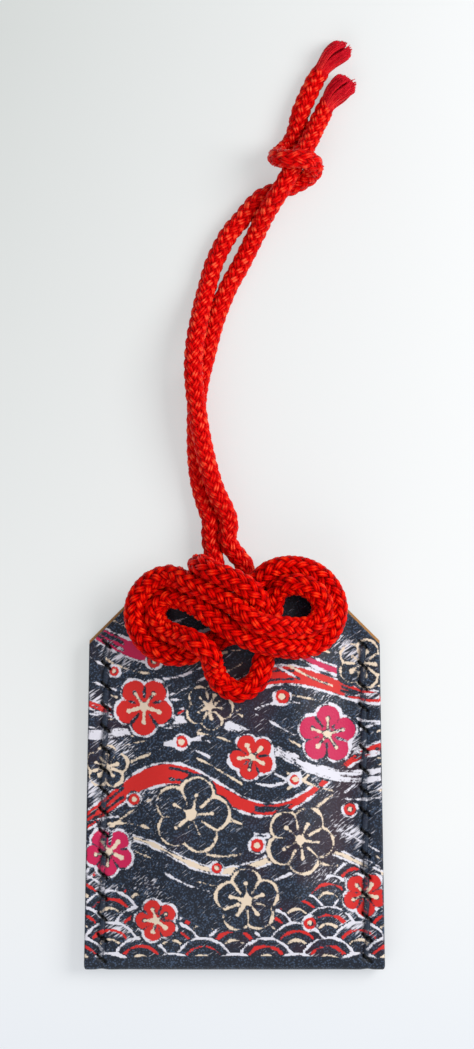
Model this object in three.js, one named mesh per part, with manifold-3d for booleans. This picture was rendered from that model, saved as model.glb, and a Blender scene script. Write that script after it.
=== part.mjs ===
import * as THREE from 'three';
import { mergeVertices } from 'three/addons/utils/BufferGeometryUtils.js';
import Module from 'manifold-3d';

// Omamori charm, lying on its back, in millimetres.
// +Z is up, +Y runs from the bottom fold to the mouth and on along the strap, +X is to the right.
// The origin is the middle of the back panel's outer face.

// Leather pouch: one sheet folded at the bottom and sewn along both sides
const POUCH_WIDTH = 60;
const SHOULDER_WIDTH = 58;
const TOP_EDGE_WIDTH = 31.6;
const POUCH_HEIGHT = 78;
const SHOULDER_DROP = 13.1;
const LEATHER_THICKNESS = 1.5;
const LAYER_GAP = 0.3;
const CHAMFER_LIP = 0.5;
const SEAM_LIFT = 1.0;
const SEAM_MARGIN = 5.2;
const CROWN_HEIGHT = 3.5;
const CROWN_RUN = 13;
const FOLD_HEIGHT = 0.9;
const FOLD_RUN = 15;

// Saddle stitching
const SEAM_INSET = 3.5;
const STITCH_COUNT = 15;
const FIRST_STITCH_BELOW_SHOULDER = 0;
const LAST_STITCH_ABOVE_FOLD = 2.3;
const THREAD_DIAMETER = 0.6;
const THREAD_CLEARANCE = 0.3;
const THREAD_SPACING = 0.45;
const SLOT_SLANT = Math.PI / 4;

// Braided cord
const CORD_DIAMETER = 3.7;
const CORD_CLEARANCE = 0.35;
const HOLE_CLEARANCE = 0.5;
const LEFT_HOLE_X = -4.5;
const RIGHT_HOLE_X = 2.2;
const HOLE_BELOW_MOUTH = 5.8;
const HOLE_BEND = 2.1;
const NECK_ABOVE_MOUTH = 2.6;
const STRAP_SPLIT_ABOVE_MOUTH = 9.5;
const CORD_SPLIT_GAP = 0.3;
const LEFT_STRAP = { neckX: -4.5, x: -4.9, height: 3.0 };
const RIGHT_STRAP = { neckX: 3.1, x: -0.6, height: 4.4 };
const FLOOR_CLEARANCE = 0.1;

// Wooden tablet in its paper wrapper
const TABLET_WIDTH = 30;
const TABLET_LENGTH = 42;
const TABLET_THICKNESS = 1.2;
const TABLET_CORNER = 3.5;
const PAPER_THICKNESS = 0.25;
const PAPER_GAP = 0.3;
const PAPER_OVERLAP = 14;
const WRAPPER_LENGTH = 46;
const WRAPPER_ABOVE_FOLD = 12;

const BOTTOM = -POUCH_HEIGHT / 2;
const MOUTH = POUCH_HEIGHT / 2;
const SHOULDER = MOUTH - SHOULDER_DROP;
const SEAM_FACE = SEAM_LIFT + 2 * LEATHER_THICKNESS + LAYER_GAP;
const FRONT_FACE = SEAM_FACE + CROWN_HEIGHT;
const CORD_RADIUS = CORD_DIAMETER / 2;

const wasm = await Module();
wasm.setup();

const { lerp, smoothstep } = THREE.MathUtils;

function leather(color) {
  return new THREE.MeshStandardMaterial({ color, roughness: 0.55, metalness: 0 });
}

function fibre(color, roughness) {
  return new THREE.MeshStandardMaterial({ color, roughness, metalness: 0 });
}

const blackLeather = leather(0x17171a);
const waxedThread = fibre(0x1c1a1c, 0.6);
const redCord = fibre(0xc8161c, 0.5);
const washiPaper = fibre(0xefe8d8, 0.9);
const cypressWood = fibre(0xd8b98a, 0.7);

// Solids: conversion to and from closed solids for cuts

function toSolid(geometry) {
  const bare = geometry.clone();
  bare.deleteAttribute('normal');
  bare.deleteAttribute('uv');
  const merged = mergeVertices(bare, 1e-5);
  return new wasm.Manifold(new wasm.Mesh({
    numProp: 3,
    vertProperties: new Float32Array(merged.attributes.position.array),
    triVerts: new Uint32Array(merged.index.array),
  }));
}

function toGeometry(solid) {
  const mesh = solid.getMesh();
  const geometry = new THREE.BufferGeometry();
  geometry.setAttribute('position', new THREE.BufferAttribute(mesh.vertProperties, 3));
  geometry.setIndex(new THREE.BufferAttribute(mesh.triVerts, 1));
  geometry.computeVertexNormals();
  return geometry;
}

function indexedGeometry(positions, triangles) {
  const geometry = new THREE.BufferGeometry();
  geometry.setAttribute('position', new THREE.Float32BufferAttribute(positions, 3));
  geometry.setIndex(triangles);
  geometry.computeVertexNormals();
  return geometry;
}

function named(name, geometry, material) {
  const mesh = new THREE.Mesh(geometry, material);
  mesh.name = name;
  return mesh;
}

// Pouch: heights and outlines of the two panels

function sideHalfWidth(y) {
  const share = (y - BOTTOM) / (SHOULDER - BOTTOM);
  return lerp(POUCH_WIDTH / 2, SHOULDER_WIDTH / 2, share);
}

// The back panel stands out past the front by the lip along the chamfers and the mouth.
function panelOutline(lip) {
  const top = MOUTH + lip;
  const shoulder = SHOULDER + lip * Math.SQRT2;
  const topHalf = TOP_EDGE_WIDTH / 2 + lip * Math.tan(Math.PI / 8);
  const halfWidth = (y) => {
    if (y <= shoulder) return sideHalfWidth(y);
    return lerp(sideHalfWidth(shoulder), topHalf, (y - shoulder) / (top - shoulder));
  };
  return { top, shoulder, halfWidth };
}

const frontOutline = panelOutline(0);
const backOutline = panelOutline(CHAMFER_LIP);

// The panels lie flat along the seams and part towards the middle: 0 at the seam, 1 on the crown.
function crownShare(x, y) {
  const fromEdge = sideHalfWidth(y) - Math.abs(x);
  return smoothstep(fromEdge, SEAM_MARGIN, SEAM_MARGIN + CROWN_RUN);
}

function frontHeight(x, y) {
  const rise = lerp(FOLD_HEIGHT, CROWN_HEIGHT, smoothstep(y, BOTTOM, BOTTOM + FOLD_RUN));
  return SEAM_FACE + rise * crownShare(x, y);
}

function backHeight(x, y) {
  const fromEdge = sideHalfWidth(y) - Math.abs(x);
  return SEAM_LIFT * (1 - smoothstep(fromEdge, SEAM_MARGIN, 2 * SEAM_MARGIN));
}

// One strip of the folded sheet at a share u across it, from the front mouth round the fold to the back.
function sheetStrip(u) {
  const foldX = u * sideHalfWidth(BOTTOM);
  const low = backHeight(foldX, BOTTOM);
  const radius = (frontHeight(foldX, BOTTOM) - low) / 2;
  const foldStart = BOTTOM + radius;
  const outer = [];
  const inner = [];

  const addFront = (y) => {
    const x = u * frontOutline.halfWidth(y);
    const z = frontHeight(x, y);
    outer.push([x, y, z]);
    inner.push([x, y, z - LEATHER_THICKNESS]);
  };
  const addFold = (angle) => {
    const [across, up] = [Math.sin(angle), Math.cos(angle)];
    const innerRadius = radius - LEATHER_THICKNESS;
    outer.push([foldX, foldStart - radius * across, low + radius + radius * up]);
    inner.push([foldX, foldStart - innerRadius * across, low + radius + innerRadius * up]);
  };
  const addBack = (y) => {
    const x = u * backOutline.halfWidth(y);
    const z = backHeight(x, y);
    outer.push([x, y, z]);
    inner.push([x, y, z + LEATHER_THICKNESS]);
  };

  const chamferRows = 5;
  const sideRows = 12;
  const foldRows = 6;
  const backRows = 3;
  for (let i = 0; i < chamferRows; i++) addFront(lerp(MOUTH, SHOULDER, i / chamferRows));
  for (let i = 0; i < sideRows; i++) addFront(lerp(SHOULDER, foldStart, i / sideRows));
  for (let i = 0; i <= foldRows; i++) addFold(Math.PI * i / foldRows);
  for (let i = 1; i <= backRows; i++) addBack(lerp(foldStart, backOutline.shoulder, i / backRows));
  for (let i = 1; i <= backRows; i++) addBack(lerp(backOutline.shoulder, backOutline.top, i / backRows));
  return { outer, inner };
}

// A closed sheet from the strips: outer face, inner face and the cut edge all round.
function foldedSheet() {
  const columns = 16;
  const strips = [];
  for (let i = 0; i <= columns; i++) strips.push(sheetStrip(-1 + 2 * i / columns));
  const rows = strips[0].outer.length;
  const positions = [];
  for (const face of ['outer', 'inner']) {
    for (const strip of strips) positions.push(...strip[face].flat());
  }
  const outerAt = (column, row) => column * rows + row;
  const innerAt = (column, row) => (columns + 1 + column) * rows + row;
  const triangles = [];
  const quad = (a, b, c, d) => triangles.push(a, b, c, a, c, d);
  for (let column = 0; column < columns; column++) {
    for (let row = 0; row < rows - 1; row++) {
      const [right, below] = [column + 1, row + 1];
      quad(outerAt(column, row), outerAt(column, below), outerAt(right, below), outerAt(right, row));
      quad(innerAt(column, row), innerAt(right, row), innerAt(right, below), innerAt(column, below));
    }
    const last = rows - 1;
    quad(outerAt(column, 0), outerAt(column + 1, 0), innerAt(column + 1, 0), innerAt(column, 0));
    quad(outerAt(column + 1, last), outerAt(column, last), innerAt(column, last), innerAt(column + 1, last));
  }
  for (let row = 0; row < rows - 1; row++) {
    quad(outerAt(0, row + 1), outerAt(0, row), innerAt(0, row), innerAt(0, row + 1));
    quad(outerAt(columns, row), outerAt(columns, row + 1), innerAt(columns, row + 1), innerAt(columns, row));
  }
  return indexedGeometry(positions, triangles);
}

// Stitch holes: slanted slits through both layers, evenly spaced down each seam

function stitchHoles(side) {
  const first = SHOULDER - FIRST_STITCH_BELOW_SHOULDER;
  const last = BOTTOM + LAST_STITCH_ABOVE_FOLD;
  const holes = [];
  for (let i = 0; i <= STITCH_COUNT; i++) {
    const y = lerp(first, last, i / STITCH_COUNT);
    holes.push(new THREE.Vector2(side * (sideHalfWidth(y) - SEAM_INSET), y));
  }
  return holes;
}

const strandOffset = (THREAD_DIAMETER + THREAD_SPACING) / 2;
const slitDirection = new THREE.Vector2(-Math.sin(SLOT_SLANT), Math.cos(SLOT_SLANT));

function slitCutter(hole) {
  const length = 2 * strandOffset + THREAD_DIAMETER + 2 * THREAD_CLEARANCE;
  const width = THREAD_DIAMETER + 2 * THREAD_CLEARANCE;
  const depth = 2 * SEAM_FACE;
  const cutter = new THREE.BoxGeometry(width, length, depth);
  cutter.rotateZ(SLOT_SLANT);
  cutter.translate(hole.x, hole.y, SEAM_FACE / 2);
  return toSolid(cutter);
}

const holeY = MOUTH - HOLE_BELOW_MOUTH;

function cordHoleCutter(x) {
  const sides = 16;
  const cutter = new THREE.CylinderGeometry(
    CORD_RADIUS + HOLE_CLEARANCE, CORD_RADIUS + HOLE_CLEARANCE, CROWN_HEIGHT, sides);
  cutter.rotateX(Math.PI / 2);
  cutter.translate(x, holeY, FRONT_FACE - LEATHER_THICKNESS / 2);
  return toSolid(cutter);
}

function pouch() {
  let solid = toSolid(foldedSheet());
  for (const side of [-1, 1]) {
    for (const hole of stitchHoles(side)) solid = solid.subtract(slitCutter(hole));
  }
  for (const x of [LEFT_HOLE_X, RIGHT_HOLE_X]) solid = solid.subtract(cordHoleCutter(x));
  return toGeometry(solid);
}

// Seam thread: one thread sewn from its middle, both ends passing every slit in opposite directions

// A tube along straight runs, mitred where they meet.
function mitredTube(points, radius, sides) {
  const runs = points.slice(1).map((point, i) => point.clone().sub(points[i]).normalize());
  const across = new THREE.Vector3(1, 0, 0).cross(runs[0]).normalize();
  const sideways = runs[0].clone().cross(across);
  let ring = [];
  for (let i = 0; i < sides; i++) {
    const angle = 2 * Math.PI * i / sides;
    const spoke = across.clone().multiplyScalar(radius * Math.cos(angle));
    ring.push(points[0].clone().add(spoke.addScaledVector(sideways, radius * Math.sin(angle))));
  }
  const positions = ring.flatMap((point) => point.toArray());
  for (let i = 1; i < points.length; i++) {
    const run = runs[i - 1];
    const plane = run.clone().add(runs[Math.min(i, runs.length - 1)]);
    ring = ring.map((point) => {
      const travel = points[i].clone().sub(point).dot(plane) / run.dot(plane);
      return point.clone().addScaledVector(run, travel);
    });
    positions.push(...ring.flatMap((point) => point.toArray()));
  }
  const triangles = [];
  for (let i = 0; i < points.length - 1; i++) {
    for (let j = 0; j < sides; j++) {
      const [a, b] = [i * sides + j, i * sides + (j + 1) % sides];
      triangles.push(a, b, b + sides, a, b + sides, a + sides);
    }
  }
  const end = (points.length - 1) * sides;
  for (let j = 1; j < sides - 1; j++) {
    triangles.push(0, j + 1, j);
    triangles.push(end, end + j, end + j + 1);
  }
  return indexedGeometry(positions, triangles);
}

const stitchTop = SEAM_FACE + THREAD_CLEARANCE + THREAD_DIAMETER / 2;
const stitchBase = SEAM_LIFT - THREAD_CLEARANCE - THREAD_DIAMETER / 2;

// One end of the thread: over and under by turns, leaving each slit at its own end of it.
function threadStrand(holes, startsOnFront, slitEnd) {
  const corner = THREAD_DIAMETER;
  const points = [];
  for (let i = 0; i < holes.length - 1; i++) {
    const onFront = (i % 2 === 0) === startsOnFront;
    const face = onFront ? stitchTop : stitchBase;
    const inward = onFront ? -corner : corner;
    const shift = (hole) => hole.clone().addScaledVector(slitDirection, slitEnd * strandOffset);
    const from = shift(holes[i]);
    const to = shift(holes[i + 1]);
    const along = to.clone().sub(from).normalize().multiplyScalar(corner);
    points.push(new THREE.Vector3(from.x, from.y, face + inward));
    points.push(new THREE.Vector3(from.x + along.x, from.y + along.y, face));
    points.push(new THREE.Vector3(to.x - along.x, to.y - along.y, face));
    points.push(new THREE.Vector3(to.x, to.y, face + inward));
  }
  return points;
}

function seamThread(side) {
  const holes = stitchHoles(side);
  const over = threadStrand(holes, true, 1);
  const under = threadStrand(holes, false, -1);
  const sides = 6;
  return mitredTube([...over.reverse(), ...under], THREAD_DIAMETER / 2, sides);
}

// Cords: round tubes along routes chosen by eye

function smoothRoute(points) {
  const curve = new THREE.CatmullRomCurve3(points.map((point) => new THREE.Vector3(...point)));
  curve.arcLengthDivisions = 20 * points.length;
  return curve;
}

function cordTube(route, step, sides) {
  const section = new THREE.Shape();
  for (let i = 0; i < sides; i++) {
    const angle = 2 * Math.PI * i / sides;
    const [x, y] = [CORD_RADIUS * Math.cos(angle), CORD_RADIUS * Math.sin(angle)];
    if (i === 0) section.moveTo(x, y);
    else section.lineTo(x, y);
  }
  section.closePath();
  const steps = Math.round(route.getLength() / step);
  return new THREE.ExtrudeGeometry(section, { steps, extrudePath: route, bevelEnabled: false });
}

// Least gap between stretches of a cord that are not next to each other.
function leastGap(route, other) {
  const spacing = 0.4;
  const neighbour = 2 * CORD_DIAMETER;
  const sample = (curve) => curve.getSpacedPoints(Math.round(curve.getLength() / spacing));
  const first = sample(route);
  const second = sample(other);
  let least = Infinity;
  let place = null;
  first.forEach((point, i) => {
    second.forEach((target, j) => {
      if (route === other && Math.abs(i - j) * spacing < neighbour) return;
      const distance = point.distanceTo(target);
      if (distance < least) {
        least = distance;
        place = [point, target];
      }
    });
  });
  return { gap: least - CORD_DIAMETER, place };
}

// Ornamental knot: doubled ears left and right and a single loop below, tied in front of the mouth.
// y is measured from the mouth, z from a cord lying on the front panel.
const KNOT_ROUTE = [
  [-5.0, -1.9, 0.0], [-6.3, 0.5, -0.2], [-6.9, 2.6, 1.6], [-6.1, 2.8, 5.0],
  [-3.2, 1.8, 7.0], [0.4, 0.6, 7.4], [3.4, -1.4, 7.1], [5.1, -4.0, 5.5],
  [4.7, -6.4, 3.4], [2.7, -8.9, 1.6], [-0.8, -11.0, 0.2], [-5.0, -13.1, -0.1],
  [-9.0, -15.2, -0.1], [-13.6, -15.6, -0.6], [-17.8, -13.2, -1.4], [-19.9, -8.6, -1.8],
  [-19.3, -3.6, -1.4], [-16.6, -0.2, -0.4], [-12.8, 0.9, 1.0], [-9.4, -0.7, 3.4],
  [-6.2, -2.2, 4.5], [-2.8, -3.8, 5.1], [0.2, -5.6, 6.0], [2.7, -7.9, 7.0],
  [5.2, -9.3, 7.0], [8.8, -9.9, 6.0], [12.6, -10.0, 3.8], [15.8, -8.9, 2.6],
  [17.4, -5.8, 2.2], [15.8, -2.5, 2.2], [12.2, -1.2, 2.2], [8.8, -2.6, 1.0],
  [7.6, -6.6, 0.2], [7.0, -11.5, 0.0], [5.7, -17.0, 0.0], [4.4, -21.2, 0.0],
  [0.9, -23.3, 0.0], [-2.5, -21.4, 0.0], [-3.6, -18.6, 1.3], [-4.5, -15.6, 4.0],
  [-7.6, -12.8, 4.0], [-11.6, -11.2, 1.2], [-14.8, -9.4, -0.4], [-15.6, -6.4, -0.8],
  [-13.4, -4.1, -0.3], [-10.2, -4.6, 1.0], [-7.4, -6.0, 3.0], [-5.2, -7.8, 4.0],
  [-2.8, -9.6, 4.5], [0.2, -11.3, 4.8], [4.5, -12.8, 4.6], [9.4, -13.8, 3.6],
  [13.4, -14.4, 1.0], [17.2, -13.4, -0.6], [19.9, -10.2, -1.4], [20.6, -5.8, -1.6],
  [18.5, -1.2, -1.2], [14.3, 1.7, -0.5], [9.6, 2.2, -0.2], [5.7, 0.8, 0.0],
  [3.2, -1.8, 0.0],
];

const knotLevel = FRONT_FACE + CORD_CLEARANCE + CORD_RADIUS;
const pocketLevel = FRONT_FACE / 2;

const holeMiddle = (knotLevel + pocketLevel) / 2;
const BEND_ANGLES = [0, Math.PI / 6, Math.PI / 3, Math.PI / 2];

// From the strap through the mouth and along the pocket, then up into the cord hole.
function neckRoute(holeX, strap) {
  const split = STRAP_SPLIT_ABOVE_MOUTH - CORD_SPLIT_GAP / 2;
  const hole = -HOLE_BELOW_MOUTH;
  const bend = (angle) => [
    holeX,
    hole + HOLE_BEND * (1 - Math.sin(angle)),
    pocketLevel + HOLE_BEND * (1 - Math.cos(angle)),
  ];
  return smoothRoute([
    [strap.x, split, strap.height],
    [strap.x, split - CORD_DIAMETER / 2, strap.height],
    [strap.neckX, NECK_ABOVE_MOUTH, pocketLevel],
    [lerp(strap.neckX, holeX, 0.6), hole + 2 * HOLE_BEND, pocketLevel],
    ...BEND_ANGLES.map(bend),
    [holeX, hole, holeMiddle - CORD_SPLIT_GAP / 2],
  ]);
}

// Up out of a cord hole and over the front panel's edge towards the mouth.
function outOfHole(holeX) {
  const hole = -HOLE_BELOW_MOUTH;
  const bend = (angle) => [
    holeX,
    hole + HOLE_BEND * (1 - Math.sin(angle)),
    knotLevel - HOLE_BEND * (1 - Math.cos(angle)),
  ];
  return [
    [holeX, hole, holeMiddle + CORD_SPLIT_GAP / 2],
    ...BEND_ANGLES.map(bend).reverse(),
  ];
}

function knotRoute() {
  const left = outOfHole(LEFT_HOLE_X);
  const right = outOfHole(RIGHT_HOLE_X).reverse();
  const front = KNOT_ROUTE.map(([x, y, z]) => [x, y, knotLevel + z]);
  return smoothRoute([...left, ...front, ...right]);
}

// Strap: two cords that cross once, the right one knotted round the left, with two cut tails.
// y is measured from the mouth, z from a cord lying on the ground.
const LEFT_STRAP_ROUTE = [
  [-5.9, 14.0, 0.2], [-6.9, 17.4, 0.0], [-7.5, 21.0, 0.0], [-7.8, 25.0, 0.0],
  [-7.8, 29.0, 0.0], [-7.7, 33.0, 0.0], [-7.3, 37.0, 0.0], [-6.6, 41.0, 0.0],
  [-5.6, 45.0, 0.0], [-4.6, 49.0, 0.0], [-3.2, 53.0, 0.0], [-1.5, 57.0, 0.0],
  [0.3, 61.0, 0.0], [2.4, 65.2, 0.0], [4.4, 69.2, 0.6], [6.4, 72.8, 2.8],
  [8.3, 75.8, 4.3], [10.0, 78.6, 4.6], [11.5, 81.4, 4.5], [13.1, 84.2, 4.2],
  [15.0, 87.0, 3.0], [16.5, 90.4, 1.4], [17.9, 93.6, 0.4], [19.4, 96.6, 0.0],
  [21.2, 98.6, 0.0], [22.9, 99.8, 0.0],
];
const RIGHT_STRAP_ROUTE = [
  [-1.6, 14.0, 2.8], [-3.3, 17.4, 3.1], [-4.6, 21.0, 3.4], [-5.7, 25.0, 3.9],
  [-6.6, 29.0, 4.3], [-7.3, 33.0, 4.4], [-7.9, 37.0, 4.4], [-8.2, 41.0, 4.2],
  [-8.1, 45.0, 3.7], [-7.6, 49.0, 3.2], [-7.0, 53.0, 2.4], [-6.1, 57.0, 0.9],
  [-4.9, 61.0, 0.0], [-3.2, 65.2, 0.0], [-0.9, 69.4, 0.0], [2.0, 73.4, 0.0],
  [5.2, 76.4, 0.0], [9.2, 77.8, 0.0], [13.0, 78.9, 0.5], [16.1, 80.4, 2.8],
  [16.6, 82.2, 6.2], [13.8, 83.3, 8.6], [10.6, 83.5, 8.3], [7.9, 84.2, 5.4],
  [7.8, 85.1, 2.0], [9.4, 86.6, 0.1], [11.1, 88.6, 0.0], [12.4, 91.2, 0.0],
  [13.5, 94.2, 0.0], [15.1, 97.8, 0.0], [17.0, 101.4, 0.0], [19.4, 104.6, 0.0],
  [22.0, 106.6, 0.0],
];

const floorLevel = CORD_RADIUS + FLOOR_CLEARANCE;

function strapRoute(strap, points) {
  const split = STRAP_SPLIT_ABOVE_MOUTH + CORD_SPLIT_GAP / 2;
  return smoothRoute([
    [strap.x, split, strap.height],
    [strap.x, split + CORD_DIAMETER / 2, strap.height],
    ...points.map(([x, y, z]) => [x, y, floorLevel + z]),
  ]);
}

// Paper wrapper: a sheet turned once round the tablet, its two edges overlapping on top

const wrapperBase = LEATHER_THICKNESS + PAPER_GAP;
const tabletBase = wrapperBase + PAPER_THICKNESS + PAPER_GAP;
const innerFlap = tabletBase + TABLET_THICKNESS + PAPER_GAP;
const outerFlap = innerFlap + PAPER_THICKNESS + PAPER_GAP;

function wrapperSection() {
  const half = TABLET_WIDTH / 2 + PAPER_GAP + PAPER_THICKNESS;
  const lap = PAPER_OVERLAP / 2;
  const ramp = 3;
  const section = new THREE.Shape();
  section.moveTo(-half, wrapperBase);
  section.lineTo(half, wrapperBase);
  section.lineTo(half, innerFlap + PAPER_THICKNESS);
  section.lineTo(-lap, innerFlap + PAPER_THICKNESS);
  section.lineTo(-lap, innerFlap);
  section.lineTo(half - PAPER_THICKNESS, innerFlap);
  section.lineTo(half - PAPER_THICKNESS, wrapperBase + PAPER_THICKNESS);
  section.lineTo(-half + PAPER_THICKNESS, wrapperBase + PAPER_THICKNESS);
  section.lineTo(-half + PAPER_THICKNESS, innerFlap);
  section.lineTo(-lap - ramp, innerFlap);
  section.lineTo(-lap, outerFlap);
  section.lineTo(lap, outerFlap);
  section.lineTo(lap, outerFlap + PAPER_THICKNESS);
  section.lineTo(-lap, outerFlap + PAPER_THICKNESS);
  section.lineTo(-lap - ramp, innerFlap + PAPER_THICKNESS);
  section.lineTo(-half, innerFlap + PAPER_THICKNESS);
  section.closePath();
  return section;
}

const wrapperStart = BOTTOM + WRAPPER_ABOVE_FOLD;

function wrapper() {
  const settings = { depth: WRAPPER_LENGTH, bevelEnabled: false };
  const geometry = new THREE.ExtrudeGeometry(wrapperSection(), settings);
  geometry.rotateX(Math.PI / 2);
  geometry.translate(0, wrapperStart + WRAPPER_LENGTH, 0);
  return geometry;
}

// Tablet: a thin board with cut-off shoulders

function tablet() {
  const half = TABLET_WIDTH / 2;
  const outline = new THREE.Shape();
  outline.moveTo(-half, 0);
  outline.lineTo(half, 0);
  outline.lineTo(half, TABLET_LENGTH - TABLET_CORNER);
  outline.lineTo(half - TABLET_CORNER, TABLET_LENGTH);
  outline.lineTo(-half + TABLET_CORNER, TABLET_LENGTH);
  outline.lineTo(-half, TABLET_LENGTH - TABLET_CORNER);
  outline.closePath();
  const geometry = new THREE.ExtrudeGeometry(outline, { depth: TABLET_THICKNESS, bevelEnabled: false });
  geometry.translate(0, wrapperStart + (WRAPPER_LENGTH - TABLET_LENGTH) / 2, tabletBase);
  return geometry;
}

// Assembly

const knot = knotRoute();
const leftNeck = neckRoute(LEFT_HOLE_X, LEFT_STRAP);
const rightNeck = neckRoute(RIGHT_HOLE_X, RIGHT_STRAP);
const leftStrap = strapRoute(LEFT_STRAP, LEFT_STRAP_ROUTE);
const rightStrap = strapRoute(RIGHT_STRAP, RIGHT_STRAP_ROUTE);

const KNOT_STEP = 1.3;
const STRAP_STEP = 1.6;
const CORD_SIDES = 8;

const cords = new THREE.Group();
cords.position.y = MOUTH;
cords.add(
  named('ornamental_knot', cordTube(knot, KNOT_STEP, CORD_SIDES), redCord),
  named('cord_neck_left', cordTube(leftNeck, KNOT_STEP, CORD_SIDES), redCord),
  named('cord_neck_right', cordTube(rightNeck, KNOT_STEP, CORD_SIDES), redCord),
  named('strap_cord_left', cordTube(leftStrap, STRAP_STEP, CORD_SIDES), redCord),
  named('strap_cord_right', cordTube(rightStrap, STRAP_STEP, CORD_SIDES), redCord),
);

const charm = new THREE.Group();
charm.add(
  named('leather_pouch', pouch(), blackLeather),
  named('seam_thread_left', seamThread(-1), waxedThread),
  named('seam_thread_right', seamThread(1), waxedThread),
  named('paper_wrapper', wrapper(), washiPaper),
  named('inner_tablet', tablet(), cypressWood),
  cords,
);

function report(label, route, other) {
  const { gap, place } = leastGap(route, other);
  const where = place.map((point) => point.toArray().map((value) => value.toFixed(1)).join(' '));
  console.log(`${label}: least gap ${gap.toFixed(2)} mm, between ${where.join(' and ')}`);
}

const stretches = [leftStrap, leftNeck, knot, rightNeck, rightStrap];
console.log(`cord stretches ${stretches.map((route) => route.getLength().toFixed(1))} mm`);
report('ornamental knot', knot, knot);
report('left strap cord', leftStrap, leftStrap);
report('right strap cord', rightStrap, rightStrap);
report('strap cords to each other', leftStrap, rightStrap);
report('cord necks to each other', leftNeck, rightNeck);

export default charm;
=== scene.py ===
"""Dresses an omamori charm: a printed leather pouch, a knotted braided cord and its strap."""

import logging
import math
from collections.abc import Callable
from dataclasses import dataclass
from enum import Enum
from functools import partial

import bpy
import numpy as np
from mathutils import Matrix


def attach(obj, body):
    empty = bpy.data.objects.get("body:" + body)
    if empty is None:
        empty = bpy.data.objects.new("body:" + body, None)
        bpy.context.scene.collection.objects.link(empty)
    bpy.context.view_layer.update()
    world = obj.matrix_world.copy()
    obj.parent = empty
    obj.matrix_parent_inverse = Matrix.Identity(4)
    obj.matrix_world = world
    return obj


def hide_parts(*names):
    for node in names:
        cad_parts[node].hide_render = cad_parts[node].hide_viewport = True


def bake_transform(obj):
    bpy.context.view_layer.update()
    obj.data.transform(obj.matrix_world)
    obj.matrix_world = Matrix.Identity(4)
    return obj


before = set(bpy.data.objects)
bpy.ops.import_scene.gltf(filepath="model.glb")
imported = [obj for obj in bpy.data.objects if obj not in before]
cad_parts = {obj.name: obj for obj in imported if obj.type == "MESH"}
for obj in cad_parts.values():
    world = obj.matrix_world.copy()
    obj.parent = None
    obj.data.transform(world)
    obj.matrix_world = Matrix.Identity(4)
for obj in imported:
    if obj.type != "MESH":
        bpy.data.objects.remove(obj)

MM = 0.001
PHOTO_HEIGHT = 1049
TUFT_SEEDS = {"left": 7, "right": 11}
SPAN_SAMPLES = 40
TINY = 1e-9
UPRIGHT_LIMIT = 0.1
FAR_MM = 5.0
UPWARD = np.array([0.0, 0.0, 1.0])

# Sockets of a node that maps a range, and of one that mixes two colours.
VALUE, LOW, HIGH, TO_LOW, TO_HIGH = range(5)
SHARE, UNDER, OVER = 0, 6, 7
COLOUR_MIX = {"output": 2, "data_type": "RGBA"}

Array = np.ndarray
Arrays = tuple[Array, Array, Array]
Values = dict[str, Array]
Socket = bpy.types.NodeSocket
AddNode = Callable[..., Socket]

log = logging.getLogger("omamori")


def linear(colour: str) -> tuple[float, float, float, float]:
    """Turns an sRGB hex colour into linear RGBA.

    Args:
        colour: A hex value such as "#c01818".

    Returns:
        Red, green, blue and alpha, as the shaders take them.
    """
    shares = [int(colour[i:i + 2], 16) / 255 for i in (1, 3, 5)]
    values = [s / 12.92 if s <= 0.04045 else ((s + 0.055) / 1.055) ** 2.4 for s in shares]
    return (values[0], values[1], values[2], 1.0)


def wire(node: bpy.types.Node, inputs: dict) -> None:
    """Sets a node's inputs.

    Args:
        node: The node.
        inputs: Values to put in or output sockets to link, by the input's name or number.
    """
    for key, value in inputs.items():
        if isinstance(value, Socket):
            node.id_data.links.new(value, node.inputs[key])
        else:
            node.inputs[key].default_value = value


def add_node(
    tree: bpy.types.NodeTree, kind: str, inputs: dict | None = None, output: int | str = 0, **settings
) -> Socket:
    """Adds a shader node with its settings and links.

    Args:
        tree: The material's node tree.
        kind: The node's type, without its ShaderNode prefix.
        inputs: Values or output sockets for its inputs, by name or number.
        output: The output to hand back, by name or number.
        settings: Properties of the node.

    Returns:
        That output socket, whose node is the new one.
    """
    node = tree.nodes.new("ShaderNode" + kind)
    for key, value in settings.items():
        setattr(node, key, value)
    wire(node, inputs or {})
    return node.outputs[output]


def new_material(name: str) -> tuple[bpy.types.Material, AddNode, bpy.types.Node]:
    """Makes a node material.

    Args:
        name: The finish's plain name.

    Returns:
        The material, add_node for its tree, and its principled shader.
    """
    material = bpy.data.materials.new(name)
    material.use_nodes = True
    tree = material.node_tree
    return material, partial(add_node, tree), tree.nodes["Principled BSDF"]


def per_mm(size_mm: float) -> float:
    """Gives the texture scale at which one cell of a pattern is as large as size_mm."""
    return 1.0 / (size_mm * MM)


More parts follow.
